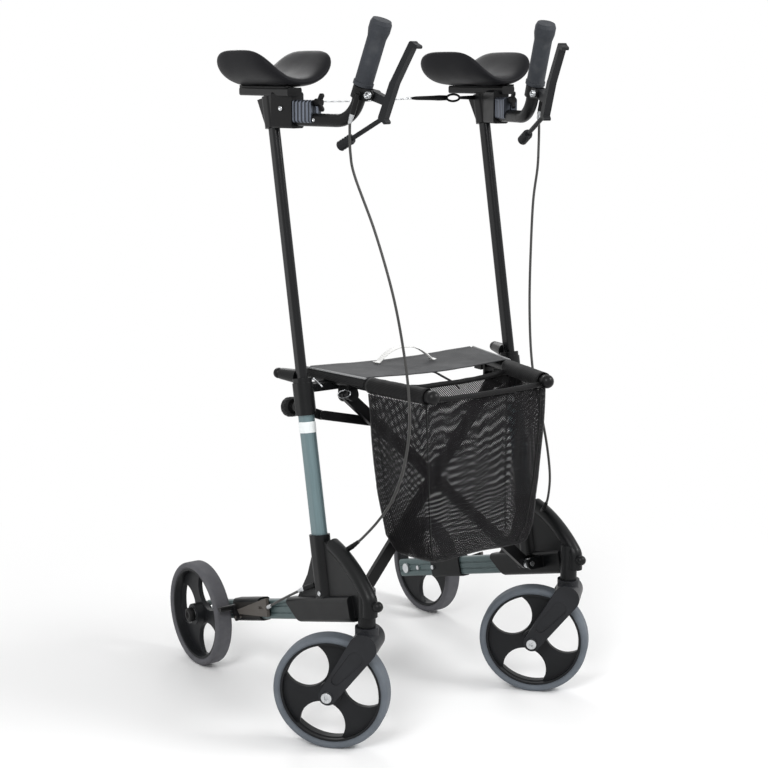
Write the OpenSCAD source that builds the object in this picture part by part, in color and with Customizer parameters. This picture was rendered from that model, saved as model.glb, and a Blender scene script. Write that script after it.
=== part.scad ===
// Upright walker: a folding four-wheeled walking frame with forearm rests, seat and basket.
// Millimetres. +Z is up, -Y is the walking direction, +X is the user's left.
// The origin lies on the floor under the middle of the walker's box.

/* [Wheels] */
// Outer diameter of every wheel
wheel_d = 200; // [180:1:220]
// Width of a tyre
tyre_w = 34; // [28:1:38]
// Radial thickness of a tyre
tyre_t = 12; // [10:1:16]
// Diameter of a wheel hub
hub_d = 40; // [34:1:46]
// Diameter of the wheel axles
axle_d = 12; // [8:1:14]
// Half the distance between the rear wheels
rear_wheel_x = 269; // [262:1:290]
// Distance of the rear axle behind the middle
rear_axle_y = 235; // [220:1:260]

/* [Casters] */
// Half the distance between the caster heads
caster_x = 221; // [216:1:228]
// Distance of the caster heads in front of the middle
caster_y = 277; // [270:1:290]
// Distance of the front axle behind its caster head
caster_trail = 61; // [54:1:66]
// Angle by which both casters are turned at rest
caster_turn = 43; // [0:1:90]
// Diameter of the caster stem
stem_d = 16; // [12:1:18]
// Thickness of a fork leg
leg_t = 12; // [8:1:14]
// Free space between a tyre and the fork
fork_gap = 3.5; // [2.5:0.5:6]

/* [Side frame] */
// Half the distance between the lower tubes
tube_x = 230; // [227:1:233]
// Width of the lower tube
tube_w = 20; // [16:1:22]
// Height of the lower tube
tube_h = 36; // [30:1:40]
// Wall of the lower tube and of the upright
tube_wall = 2; // [1.5:0.1:3]
// Rise of the lower tube towards the front
tube_rise = 16.5; // [14:0.5:18]
// Half the distance between the uprights
upright_x = 227; // [224:1:230]
// Distance of the upright in front of the middle where it leaves the bridge
knee_y = 138.6; // [134:0.1:144]
// Height at which the upright leaves the bridge
knee_z = 345; // [335:1:355]
// Width of the upright
upright_w = 22; // [21:0.5:24]
// Depth of the upright
upright_d = 34; // [33:0.5:36]
// Rearward lean of the uprights and of the fold plane
lean = 11.2; // [9:0.1:13]
// Height of the collar's top
collar_top_z = 611; // [600:1:640]
// Length of the collar
collar_l = 64; // [56:1:72]
// Wall of the moulded sleeves on the tubes
sleeve_wall = 4; // [3:0.5:6]
// Diameter of the bridge's arched rib
rib_d = 26; // [22:1:28]
// Thickness of the bridge's recessed web
web_t = 12; // [8:1:16]

/* [Posts] */
// Width of the telescopic post
post_w = 15; // [12:0.5:16]
// Depth of the telescopic post
post_d = 25; // [22:0.5:27]
// Length of the post that hides in the upright
post_inside = 190; // [150:5:210]
// Length of the post between the collar and its head
post_free = 431; // [380:1:480]
// Length of the sleeve of the post head
post_head_l = 54; // [46:1:60]
// Length of the pad rail
pad_rail_l = 165; // [140:1:180]
// Width of the pad rail
pad_rail_w = 28; // [24:1:32]
// Height of the pad rail
pad_rail_h = 14; // [10:1:16]

/* [Forearm pads] */
// Half the distance between the pad centres
pad_x = 216; // [212:1:222]
// Width of a pad
pad_w = 142; // [120:1:150]
// Length of a pad
pad_l = 188; // [170:1:210]
// Thickness of a pad in its middle
pad_t = 16; // [12:1:24]
// Rise of the pad's side wings
pad_wing = 58; // [40:1:64]

/* [Handles] */
// Diameter of the handle bar
bar_d = 22; // [20:1:24]
// Straight length of the handle bar in front of its bracket
bar_reach = 90; // [84:1:100]
// Radius of the handle bar's bend
bar_bend_r = 50; // [44:1:56]
// Toe-in of the handle bars
handle_toe = 15; // [10:1:18]
// Forward tilt of the grips
grip_tilt = 22; // [16:1:26]
// Diameter of the grip
grip_d = 31; // [28:1:34]
// Length of the grip
grip_l = 110; // [100:1:120]
// Width of the brake lever
lever_w = 13; // [10:1:16]
// Distance of the brake lever's foot in front of the grip axis
lever_gap = 60; // [56:1:66]

/* [Seat and basket] */
// Diameter of the seat rails
rail_d = 22; // [18:1:24]
// Half the distance between the rails at their rear ends
rail_x = 178; // [172:1:184]
// Distance of the rails' rear ends in front of the middle
rail_y = 22; // [16:1:30]
// Length of a rail without its ball end
rail_l = 306; // [290:1:316]
// Toe-in of the rails
rail_toe = 10.65; // [9:0.05:12]
// Distance of the rails' axes below the collar's top
rail_drop = 6; // [2:1:12]
// Length of the seat
seat_l = 146; // [130:1:152]
// Sag of the seat's middle
seat_sag = 5; // [2:1:16]
// Depth of the basket below the rails
basket_h = 276; // [240:1:310]

/* [Scissor brace] */
// Half the distance between the lower pivots
brace_x = 190; // [186:1:194]
// Distance of the lower pivots in front of the middle
brace_y = 195; // [190:1:204]
// Height of the lower pivots
brace_z = 232; // [228:1:240]
// Width of a cross bar
brace_w = 20; // [16:1:22]
// Thickness of a cross bar
brace_t = 10; // [8:1:11]
// Angle through which the brace folds
fold_max = 30; // [20:1:31]

/* [Hidden] */
$fn = 48;
cut = 1;
slack = 0.3;
running = 0.05;
sides = ["right", "left"];
paired = [
    "lower_tube", "upright", "bridge", "collar", "frame_fittings", "brake_housing", "brake_cable",
    "post", "post_head", "forearm_pad", "bar_clamp", "handle_bar", "hand_grip", "brake_bracket",
    "brake_lever", "height_knob", "wing_screw", "rear_tyre", "rear_rim", "brake_shoe",
    "fork", "caster_axle", "caster_tyre", "caster_rim", "seat_rail", "cross_bar", "stay_link"
];
single = ["seat_fabric", "seat_strap", "basket", "tether_wire", "tether_hook"];

// Colours
tube_colour = [0.44, 0.53, 0.54];
black_colour = [0.14, 0.14, 0.15];
rim_colour = [0.10, 0.10, 0.11];
grey_tyre_colour = [0.42, 0.45, 0.49];
dark_tyre_colour = [0.29, 0.30, 0.31];
pad_colour = [0.17, 0.17, 0.17];
grip_colour = [0.25, 0.27, 0.29];
steel_colour = [0.75, 0.76, 0.78];
mesh_colour = [0.37, 0.38, 0.39];
strap_colour = [0.92, 0.92, 0.90];

// Wheels
wheel_r = wheel_d / 2;
rim_r = wheel_r - tyre_t;
tyre_round = tyre_t / 2;
rim_set = 8;
rim_w = tyre_w - rim_set;
rim_wall = 4;
web_w = 9;
rear_dish = 6;
hub_set = 2;
hub_w = tyre_w - hub_set;
hub_cap_l = 8;
hub_cap_d = 26;
spokes = 3;
opening_share = 0.4;
opening_at_share = 0.62;
opening_lip = 1.5;
opening_edge = rim_r - rim_wall - opening_lip;
caster_spoke_turn = 15;
rear_spoke_turn = 90;

// Rear axle and lower tube
tube_tail = 26;
sleeve_l = 210;
sleeve_short = 22;
tube_short = 76;
sleeve_front = (rear_axle_y + caster_y) / cos(tube_rise) - sleeve_short;
sleeve_rear = sleeve_front - sleeve_l;
tube_l = tube_tail + sleeve_front - tube_short;
tube_round = 6;
groove_d = 3;
groove_share = 1 / 6;
axle_head_d = 20;
axle_head_t = 5;
inner_bolt_y = 44;
inner_bolt_d = 9;
inner_bolt_t = 4;
rear_out = rear_wheel_x + hub_w / 2 + slack + hub_cap_l;

// Caster
head_d = 30;
head_gap = 19;
head_l = 65;
stem_l = 51;
head_low_z = wheel_d + head_gap;
head_top_z = head_low_z + head_l;
stem_top_z = head_low_z + stem_l;
crown_top_z = head_low_z - slack;
crown_d = 40;
ring_t = 4.7;
fork_w = tyre_w + 2 * (fork_gap + leg_t);
crown_r = 24;
boss_r = 15;
tyre_clear = 6;
spacer_l = tyre_w / 2 + fork_gap - hub_w / 2 - slack;
panel_depth = 2;
panel_r_share = 0.55;
bolt_d = 18;
bolt_t = 6;
bolt_socket_d = 8;
cap_d = 18;
cap_l = 16;
cap_neck_share = 0.8;
caster_reach = (wheel_r - tyre_round) * sin(caster_turn)
    + (tyre_w / 2 - tyre_round) * cos(caster_turn) + tyre_round;

// Middle of the walker's box, seen from the walker's own mirror plane
rail_ball_d = 24;
front_out = rail_y + (rail_l + rail_ball_d / 2) * cos(rail_toe) + rail_ball_d * (1 - cos(rail_toe)) / 2;
mid_x = (caster_x + caster_trail * sin(caster_turn) + caster_reach - rear_out) / 2;
mid_y = (front_out - rear_axle_y - wheel_r) / 2;

// Upright, collar and bridge
upright_hide = 10;
upright_in = 105;
upright_y = knee_y - (collar_top_z - knee_z) * tan(lean);
bridge_top = (collar_top_z - knee_z) / cos(lean);
upright_l = bridge_top + upright_in;
collar_w = upright_w + 2 * sleeve_wall;
collar_d = upright_d + 2 * sleeve_wall;
collar_lip = 8;
collar_step = 1.5;
bridge_sleeve_l = 135;
sleeve_w = tube_w + 2 * sleeve_wall;
sleeve_h = tube_h + 2 * sleeve_wall;
sleeve_chamfer = 34;
skirt_share = 0.5;
arch_small_r = 16;
arch_large_r = 234;
arch_knee = 45;
arch_end = 14;
arch_front = 14;
arch_rise = 43;
arch_y = -caster_y - arch_front;
arch_z = head_low_z + arch_rise;
arch_steps = 5;
small_centre = [arch_y + arch_small_r, arch_z];
large_centre = small_centre + (arch_large_r - arch_small_r) * [sin(arch_knee), -cos(arch_knee)];
gland_d = 9;
peg_l = 40;
peg_d = 25;
peg_tip_d = 20;
peg_neck_d = 9;
peg_neck_l = 7;
peg_ball_d = 19;
peg_turn = 15;
peg_rise = 3;
knob_drop = 49;
knob_d = 35;
knob_l = 24;
knob_end_d = 28;
knob_stud_d = 8;
knob_neck_d = 16;
knob_neck_l = 9;
knob_boss_d = 20;
knob_boss_l = 6;
knob_ribs = 12;
knob_groove_d = 4;
saddle_w = 20;
saddle_lip = 6;
saddle_t = 8;
saddle_back = 10;

// Scissor brace, in the fold plane: x across, y up the plane, z towards the front
rail_z = collar_top_z - rail_drop;
rail_gap = 4;
rail_pivot_drop = rail_d / 2 + brace_w / 2 + rail_gap;
brace_h = (rail_z - rail_pivot_drop - brace_z) / cos(lean);
brace_top_y = brace_y - brace_h * sin(lean);
brace_top_x = rail_x - (brace_top_y - rail_y) * tan(rail_toe);
brace_angle = atan2(brace_h, brace_x + brace_top_x);
brace_low = brace_x / cos(brace_angle);
brace_high = brace_top_x / cos(brace_angle);
brace_gap = 1;
brace_pin_d = 10;
cheek_t = 5;
cheek_gap = 0.6;
cheek_lip = 1;
cheek_in = brace_t + brace_gap + cheek_gap;
cheek_r = brace_w / 2 + cheek_lip;
cheek_top_shares = [0.8, 0.7];
washer_lip = 1;
washer_d = brace_w - 2 * washer_lip;
rivet_lip = 2;
rivet_d = brace_w - 2 * rivet_lip;

// Stay link: it joins the collar to the cross bar at the same length, open and folded
link_high_share = 0.68;
link_high = brace_high * link_high_share;
link_open = [(brace_low - link_high) * cos(brace_angle), (brace_low + link_high) * sin(brace_angle)];
link_folded = [
    (brace_low - link_high) * cos(brace_angle + fold_max),
    (brace_low + link_high) * sin(brace_angle + fold_max)
];
link_out = 10;
link_hinge_h = (link_folded * link_folded - link_open * link_open
    + 2 * link_out * (link_folded[0] - link_open[0])) / (2 * (link_folded[1] - link_open[1]));
link_l = norm(link_open - [-link_out, link_hinge_h]);
link_angle = atan2(link_open[1] - link_hinge_h, link_open[0] + link_out);
link_angle_folded = atan2(link_folded[1] - link_hinge_h, link_folded[0] + link_out);
link_ratio = (link_angle_folded - link_angle) / fold_max;
link_t = 6;
link_w = 16;
link_gap = 1.4;
link_layer = -(cheek_in + cheek_t + link_gap);
link_pin_d = 7;
link_pin_out = 1;
link_stud_d = 12;
lug_t = 6;
collar_low_h = (collar_top_z - brace_z) / cos(lean) - collar_l;
lug_h = max(link_hinge_h, collar_low_h) + link_w / 2;

// Brake at the rear wheel
brake_rear = 94;
brake_front = 193;
brake_wall = 3.5;
wedge_t = 6;
wedge_tip_share = [-0.82, -0.045];
wedge_top_share = [-2.37, 0.225];
wedge_low_share = [-2.33, -0.12];
shoe_share = [-1.105, 0.07];
shoe_pivot_share = [-1.18, -0.12];
shoe_pin_d = 6;
shoe_arm_t = 5;
shoe_arm_r = 7;
shoe_d = 11;
shoe_l = hub_w;
shoe_pin_out = 1;
slot_share = [-2.12, 0.05];
slot_w = 5;
slot_l = 15;

// Post head and bar clamp
post_top = post_free + post_head_l;
post_wall = 2;
head_w = 25;
head_depth = 36;
gusset_w = 22;
gusset_front = 20;
gusset_rear = 10;
gusset_lip = 2;
gusset_foot = (head_depth - gusset_w) / 2 + gusset_lip;
pad_rail_front = 72;
bracket_w = 30;
bracket_l = 48;
bracket_round = 5;
clamp_w = 26;
clamp_l = 42;
clamp_h = 38;
clamp_slit = 2.5;
pad_rail_z = collar_top_z + post_top * cos(lean) + pad_rail_h / 2;
handle_in = 10;
handle_back = 22;
handle_drop = 8;
handle_x = upright_x - handle_in;
handle_y = upright_y - handle_back;
handle_z = pad_rail_z - pad_rail_h / 2 - bracket_w - handle_drop;
screw_rise = 28.5;
screw_d = 8;
screw_hub_d = 13;
screw_hub_l = 12;
wing_r = 4;
wing_root_r = 3;
wing_rise = 7;
wing_reach = 11;
wing_t = 5;

// Handle bar, grip and lever, along the grip: y forward is negative, z up the grip
bar_tail = 30;
bend_angle = 90 - grip_tilt;
bend_slim = 0.2;
bend_lap = 1;
bend_out = bar_reach + bar_bend_r * sin(bend_angle);
bend_up = bar_bend_r * (1 - cos(bend_angle));
grip_start = 28;
grip_flare_d = 36;
grip_collar_d = 34;
grip_ring_l = 6;
grip_cap = 5;
ring_d = 30;
ring_l = 20;
ring_low = 6;
pivot_out = 27;
pivot_up = 22;
pivot_pin_d = 6;
lever_cheek_t = 4;
lever_eye_r = 8;
lever_foot_z = -3;
lever_tip_z = 126;
lever_lean = 14;
lever_thin = 0.5;
lever_tip_out = lever_gap + lever_lean;
lever_r = 6.5;
lever_tip_r = 5;
lever_root_rise = 2;
lever_mid_share = 0.45;
lever_bow = 5;
lever_hook = 11;
lever_hook_r = 3;
lever_neck_r = 4;
lever_toe = [9, 4];
lever_toe_r = 3;
rod_d = 8;
rod_back = 70;
rod_drop = 80;
rod_knob_d = 18;
rod_knob_l = 30;
rod_knob_ribs = 5;
rod_knob_groove = 1.2;
rod_knob_share = 0.7;
stop_d = 9;
stop_x = 15;
stop_out = 8;
stop_top = 16;
stop_low = -18;

// Forearm pad
pad_back = 16;
pad_z = pad_rail_z + pad_rail_h / 2 + slack;
pad_under_share = 0.5;
pad_steps = 40;
pad_power_share = 0.45;
pad_ring_share = [0.30, 0.62, 0.86, 0.965, 1, 0.95, 0.80, 0.55, 0.28];
pad_rise_share = [1, 0.99, 0.93, 0.78, 0.50, 0.24, 0.07, 0, 0];

// Seat, strap, basket
seat_t = 3;
seat_lap = 9;
seat_steps = 12;
strap_span = 98;
strap_rise = 26;
strap_w = 14;
strap_t = 2.5;
strap_at_share = 0.35;
strap_sink_share = 0.12;
sleeve_t = 2;
basket_wall = 2.5;
basket_round = 12;
basket_rear_gap = 6;
basket_front_gap = 20;
basket_level_share = [0, 0.25, 0.6, 0.9, 1];
basket_in_share = [0, 0.01, 0.04, 0.09, 0.15];
basket_toe_shares = [2, 0.4];
basket_floor_share = 0.78;
basket_corner_steps = 5;

// Brake cables: routes of one side in x outward, y and z
cable_d = 4.5;
cable_sides = 8;
route_steps = 3;
cable_gap = 4;
cable_head = grip_point([stop_x, -stop_out, stop_low - cable_gap]);
cable_lead = grip_point([stop_x, -stop_out, stop_low - cable_gap - stop_d]);
foot_in = 17;
foot_front = 79.4;
foot_drop = 4;
gland_in = 5;
gland_front = 55.4;
gland_drop = 23;
cable_foot = [upright_x - foot_in, -knee_y - foot_front, knee_z - foot_drop];
cable_gland = [upright_x - gland_in, -knee_y - gland_front, knee_z - gland_drop];
right_cable_shares = [
    [0.848, 0.729, 0.875], [0.788, 0.823, 0.741], [0.724, 0.928, 0.608], [0.691, 0.996, 0.495],
    [0.687, 1.061, 0.382], [0.705, 1.090, 0.292], [0.756, 1.087, 0.202], [0.816, 1.040, 0.128],
    [0.876, 0.960, 0.074], [0.935, 0.859, 0.026]
];
left_cable_shares = [
    [0.857, 0.747, 0.907], [0.825, 0.747, 0.786], [0.793, 0.762, 0.663], [0.765, 0.787, 0.541],
    [0.747, 0.823, 0.430], [0.747, 0.866, 0.346], [0.774, 0.917, 0.263], [0.820, 0.939, 0.179],
    [0.880, 0.917, 0.099], [0.935, 0.852, 0.035]
];
low_set = 71;
low_rise = 37.6;
low_in = 2;
low_dip = 4.5;
low_gland_l = 20;
low_bulge = 4.5;
low_steps = 4;
low_gland = tube_point([low_in, -sleeve_rear - low_set - low_gland_l, low_rise + low_dip]);
low_start = tube_point([sleeve_w / 2 - cut, -sleeve_rear - low_set, low_rise]);
wedge_front = wheel_r * (wedge_top_share + wedge_low_share) / 2;
low_end = tube_point([tube_w / 2 + brake_wall + wedge_t / 2, wedge_front[0] - 2 * slack, wedge_front[1]]);
low_cable = [for (k = [0 : low_steps])
    let (t = k / low_steps) low_start + t * (low_end - low_start) + [4 * low_bulge * t * (1 - t), 0, 0]];

// Tether between the post heads
wire_d = 2.5;
wire_y = -8;
wire_drop = 14;
wire_steps = 12;
wire_z = pad_rail_z - wire_drop;
wire_sag = 4;
hook_start = 73;
hook_l = 94;
hook_w = 14;
hook_t = 5;
hook_eye_d = 6;
hook_tab_w = 8;
hook_neck_w = 11;
hook_tip_w = 6;

// Helper functions
function unit(v) = v / norm(v);
function grip_point(p) =
    let (y = -bend_out + p[1] * cos(grip_tilt) - p[2] * sin(grip_tilt),
        z = bend_up + p[1] * sin(grip_tilt) + p[2] * cos(grip_tilt))
    [handle_x + p[0] * cos(handle_toe) + y * sin(handle_toe),
        -handle_y - p[0] * sin(handle_toe) + y * cos(handle_toe), handle_z + z];
function tube_point(p) = [
    tube_x + p[0],
    rear_axle_y + p[1] * cos(tube_rise) + p[2] * sin(tube_rise),
    wheel_r - p[1] * sin(tube_rise) + p[2] * cos(tube_rise)
];
function tube_y(p) = wheel_r * p[0];
function tube_z(p) = wheel_r * p[1];
function rail_at(y) = rail_x - (y - rail_y) * tan(rail_toe);
function cable_route(s) = concat(
    [cable_head, cable_lead],
    [for (p = s == "left" ? left_cable_shares : right_cable_shares)
        [handle_x * p[0], -caster_y * p[1], cable_foot[2] + (cable_head[2] - cable_foot[2]) * p[2]]],
    [cable_foot]
);
function mixed(a, b, c, d, t) = 0.5 * (2 * b + (c - a) * t + (2 * a - 5 * b + 4 * c - d) * t * t
    + (3 * b - a - 3 * c + d) * t * t * t);
function point(p, i) = i < 0 ? 2 * p[0] - p[1] : i >= len(p) ? 2 * p[len(p) - 1] - p[len(p) - 2] : p[i];
function route(p, steps) = concat(
    [for (i = [0 : len(p) - 2], j = [0 : steps - 1])
        mixed(point(p, i - 1), p[i], p[i + 1], point(p, i + 2), j / steps)],
    [p[len(p) - 1]]
);
function rings_faces(rings, n) = concat(
    [for (k = [0 : rings - 2], i = [0 : n - 1]) [k * n + i, k * n + (i + 1) % n, (k + 1) * n + i]],
    [for (k = [0 : rings - 2], i = [0 : n - 1])
        [k * n + (i + 1) % n, (k + 1) * n + (i + 1) % n, (k + 1) * n + i]]
);
function fan(centre, first, n, turned) = [for (i = [0 : n - 1])
    turned ? [centre, first + (i + 1) % n, first + i] : [centre, first + i, first + (i + 1) % n]];

// Helper shapes
module side(s) {
    translate([mid_x, mid_y, 0])
        if (s == "left") children();
        else mirror([1, 0, 0]) children();
}
module on_upright() {
    translate([upright_x, -upright_y, collar_top_z]) rotate([-lean, 0, 0]) children();
}
module on_tube() {
    translate([tube_x, rear_axle_y, wheel_r]) rotate([-tube_rise, 0, 0]) children();
}
module on_handle() {
    translate([handle_x, -handle_y, handle_z]) rotate([0, 0, -handle_toe]) children();
}
module on_grip() {
    on_handle() translate([0, -bend_out, bend_up]) rotate([grip_tilt, 0, 0]) children();
}
module on_rail() {
    translate([rail_x, -rail_y, rail_z]) rotate([0, 0, -rail_toe]) children();
}
module on_fold() {
    translate([0, -brace_y, brace_z]) rotate([90 - lean, 0, 0]) children();
}
module on_caster(s) {
    translate([mid_x + (s == "left" ? caster_x : -caster_x), mid_y - caster_y, 0])
        rotate([0, 0, caster_turn]) children();
}
module forward() {
    rotate([90, 0, 0]) children();
}
module sideways() {
    rotate([0, 90, 0]) children();
}
module rounded(w, h, r) {
    square([w, h - 2 * r], center = true);
    square([w - 2 * r, h], center = true);
    for (x = [-1, 1], y = [-1, 1]) translate([x * (w / 2 - r), y * (h / 2 - r)]) circle(r);
}
module oval(w, d) {
    square([w, d - w], center = true);
    for (y = [-1, 1]) translate([0, y * (d - w) / 2]) circle(d = w);
}
module tapered(p, r, q, t) {
    along = atan2(q[1] - p[1], q[0] - p[0]);
    spread = acos((r - t) / norm(q - p));
    ends = [for (e = [-1, 1]) [cos(along + e * spread), sin(along + e * spread)]];
    translate(p) circle(r);
    translate(q) circle(t);
    polygon([p + r * ends[0], q + t * ends[0], q + t * ends[1], p + r * ends[1]]);
}
module rod(p, q, d) {
    v = q - p;
    translate(p) rotate([0, acos(v[2] / norm(v)), atan2(v[1], v[0])]) cylinder(d = d, h = norm(v));
}
module cord(points, d, across) {
    n = len(points);
    ring = [for (i = [0 : n - 1])
        let (t = unit(points[min(i + 1, n - 1)] - points[max(i - 1, 0)]), a = unit(cross(t, across)),
            b = cross(t, a))
        for (k = [0 : cable_sides - 1])
            points[i] + d / 2 * (cos(360 * k / cable_sides) * a + sin(360 * k / cable_sides) * b)];
    polyhedron(
        concat(ring, [points[0], points[n - 1]]),
        concat(
            [for (f = rings_faces(n, cable_sides)) [f[0], f[2], f[1]]],
            fan(n * cable_sides, 0, cable_sides, false),
            fan(n * cable_sides + 1, (n - 1) * cable_sides, cable_sides, true)
        ));
}

// Wheels, drawn about their own axis along X
module tyre_ring() {
    sideways() rotate_extrude($fn = 96) {
        translate([rim_r, -tyre_w / 2 + tyre_t / 2]) square([tyre_t / 2, tyre_w - tyre_t]);
        translate([rim_r, -rim_w / 2]) square([tyre_t / 2, rim_w]);
        translate([rim_r + tyre_t / 2, -tyre_w / 2 + tyre_t / 2]) square([tyre_t / 2, tyre_w - tyre_t]);
        for (e = [-1, 1])
            translate([rim_r + tyre_t / 2, e * (tyre_w / 2 - tyre_t / 2)]) circle(d = tyre_t);
    }
}
module spoke_opening() {
    intersection() {
        circle(opening_edge, $fn = 96);
        translate([wheel_r * opening_at_share, 0]) circle(wheel_r * opening_share, $fn = 96);
    }
}
module rim_body(dish, turn) {
    sideways() difference() {
        rotate_extrude($fn = 96) {
            translate([0, -hub_w / 2]) square([hub_d / 2, hub_w]);
            translate([0, dish - web_w / 2]) square([rim_r - rim_wall / 2, web_w]);
            translate([rim_r - rim_wall, -rim_w / 2]) square([rim_wall, rim_w]);
        }
        for (k = [0 : spokes - 1])
            rotate([0, 0, 360 * k / spokes + turn])
                translate([0, 0, -tyre_w / 2]) linear_extrude(tyre_w) spoke_opening();
        translate([0, 0, -tyre_w]) cylinder(d = axle_d + 2 * running, h = 2 * tyre_w);
    }
}

// Side frame
module lower_tube(s) {
    side(s) color(tube_colour) on_tube() difference() {
        translate([0, tube_tail, 0]) forward() {
            linear_extrude(tube_l) difference() {
                rounded(tube_w, tube_h, tube_round);
                rounded(tube_w - 2 * tube_wall, tube_h - 2 * tube_wall, tube_round - tube_wall);
                for (x = [-1, 1], z = [-1, 1])
                    translate([x * tube_w / 2, z * tube_h * groove_share]) circle(d = groove_d);
            }
            translate([0, 0, -tube_wall]) linear_extrude(tube_wall) rounded(tube_w, tube_h, tube_round);
        }
        sideways() cylinder(d = axle_d, h = tube_w + 2 * cut, center = true);
    }
}
module upright(s) {
    side(s) color(tube_colour) on_upright()
        translate([0, 0, -upright_l]) linear_extrude(upright_l - upright_hide) difference() {
            oval(upright_w, upright_d);
            oval(upright_w - 2 * tube_wall, upright_d - 2 * tube_wall);
        }
}
module arch_piece(r, first, turn, d) {
    rotate([90, 0, 90]) rotate([0, 0, first]) rotate_extrude(angle = turn) translate([r, 0]) circle(d = d);
}
module arch() {
    translate([(upright_x + caster_x) / 2, 0, 0]) {
        translate([0, small_centre[0], small_centre[1]])
            arch_piece(arch_small_r, 90 + arch_knee - bend_lap, 90 - arch_knee + 2 * bend_lap,
                rib_d - bend_slim);
        translate([0, large_centre[0], large_centre[1]])
            arch_piece(arch_large_r, 90 + arch_end, arch_knee - arch_end, rib_d);
        translate([0, arch_y, (arch_z + head_low_z) / 2]) cylinder(d = rib_d, h = (arch_z - head_low_z) / 2);
    }
}
module bridge_web() {
    top = [-upright_y - bridge_top * sin(lean), collar_top_z - bridge_top * cos(lean)];
    low_rear = [rear_axle_y - sleeve_rear * cos(tube_rise), wheel_r + sleeve_rear * sin(tube_rise)];
    low_front = [-caster_y, head_low_z + head_d / 2];
    skirt = top + skirt_share * (low_rear - top) + [-collar_d / 4, 0];
    small = [for (k = [0 : arch_steps - 1])
        let (a = 180 - k * (90 - arch_knee) / arch_steps)
        small_centre + arch_small_r * [cos(a), sin(a)]];
    large = [for (k = [0 : arch_steps])
        let (a = 90 + arch_knee - k * (arch_knee - arch_end) / arch_steps)
        large_centre + arch_large_r * [cos(a), sin(a)]];
    translate([upright_x - web_t / 2, 0, 0]) rotate([90, 0, 90]) linear_extrude(web_t)
        polygon(concat([top, skirt, low_rear, low_front], small, large));
}
module bridge_solid() {
    on_upright() translate([0, 0, -bridge_top - bridge_sleeve_l]) linear_extrude(bridge_sleeve_l)
        oval(collar_w, collar_d);
    on_tube() translate([0, -sleeve_rear, 0]) forward() linear_extrude(sleeve_front - sleeve_rear)
        rounded(sleeve_w, sleeve_h, tube_round + sleeve_wall / 2);
    arch();
    bridge_web();
    translate([caster_x, -caster_y, head_low_z]) cylinder(d = head_d, h = head_top_z - head_low_z);
    translate([caster_x, arch_y - rib_d / 2 + cut, arch_z]) forward() {
        cylinder(d = cap_d * cap_neck_share, h = cap_l - cap_d / 2);
        translate([0, 0, cap_l - cap_d / 2]) sphere(d = cap_d);
    }
    rod(cable_gland, cable_foot + slack * unit(cable_gland - cable_foot), gland_d);
    rod(low_gland, low_cable[0] + slack * unit(low_gland - low_cable[0]), gland_d);
}
module bridge(s) {
    side(s) color(black_colour) {
        difference() {
            bridge_solid();
            on_upright() translate([0, 0, -upright_l]) linear_extrude(upright_l)
                oval(upright_w, upright_d);
            on_tube() translate([0, tube_tail, 0]) forward() linear_extrude(tube_l)
                rounded(tube_w, tube_h, tube_round);
            on_tube() translate([-sleeve_w, -sleeve_rear - sleeve_chamfer, -sleeve_h / 2])
                rotate([45, 0, 0]) translate([0, 0, -sleeve_chamfer])
                    cube([2 * sleeve_w, 2 * sleeve_chamfer, sleeve_chamfer]);
            translate([caster_x, -caster_y, head_low_z - cut])
                cylinder(d = stem_d + 2 * running, h = stem_top_z + slack - head_low_z + cut);
        }
        difference() {
            on_fold() for (e = [-1, 1])
                translate([0, 0, e > 0 ? cheek_in : -cheek_in - cheek_t]) linear_extrude(cheek_t)
                    tapered([brace_x, 0], cheek_r, [tube_x - sleeve_w / 2 + cheek_r, 0], cheek_r);
            on_fold() translate([brace_x, 0, -cheek_in - cheek_t - cut])
                cylinder(d = brace_pin_d, h = 2 * (cheek_in + cheek_t + cut));
            on_tube() translate([0, tube_tail, 0]) forward() linear_extrude(tube_l)
                rounded(tube_w, tube_h, tube_round);
        }
    }
}
module collar(s) {
    side(s) color(black_colour) difference() {
        union() {
            on_upright() {
                translate([0, 0, -collar_l]) linear_extrude(collar_l - collar_lip) oval(collar_w, collar_d);
                translate([0, 0, -collar_l]) linear_extrude(collar_l)
                    oval(collar_w - 2 * collar_step, collar_d - 2 * collar_step);
                translate([0, upright_d / 2, -knob_drop]) rotate([-90, 0, 0])
                    cylinder(d = knob_boss_d, h = sleeve_wall + knob_boss_l);
            }
            rear_peg();
            saddle_arm();
            link_lug();
        }
        on_upright() {
            translate([0, 0, -collar_l - 2 * link_w]) linear_extrude(collar_l + 2 * link_w - upright_hide)
                oval(upright_w, upright_d);
            translate([0, 0, -collar_l]) linear_extrude(collar_l + peg_d)
                oval(post_w + 2 * slack, post_d + 2 * slack);
            translate([0, upright_d / 2 - cut, -knob_drop]) rotate([-90, 0, 0])
                cylinder(d = knob_stud_d + 2 * running, h = collar_d);
        }
        on_rail() translate([0, cut, 0]) forward() cylinder(d = rail_d + 2 * slack, h = rail_l);
    }
}
module rear_peg() {
    on_upright() translate([0, post_d / 2 + slack, peg_rise]) rotate([-90 + lean, 0, -peg_turn]) {
        cylinder(d1 = peg_d, d2 = peg_tip_d, h = peg_l);
        cylinder(d = peg_neck_d, h = peg_l + peg_neck_l);
        translate([0, 0, peg_l + peg_neck_l]) sphere(d = peg_ball_d);
    }
}
module saddle_arm() {
    saddle_y = upright_y + saddle_back;
    translate([rail_at(saddle_y) - rail_d / 2, -saddle_y, rail_z - rail_d / 2 - saddle_t])
        cube([upright_x - post_w / 2 - sleeve_wall / 2 - rail_at(saddle_y) + rail_d / 2,
            saddle_w, saddle_t + saddle_lip]);
}
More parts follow.
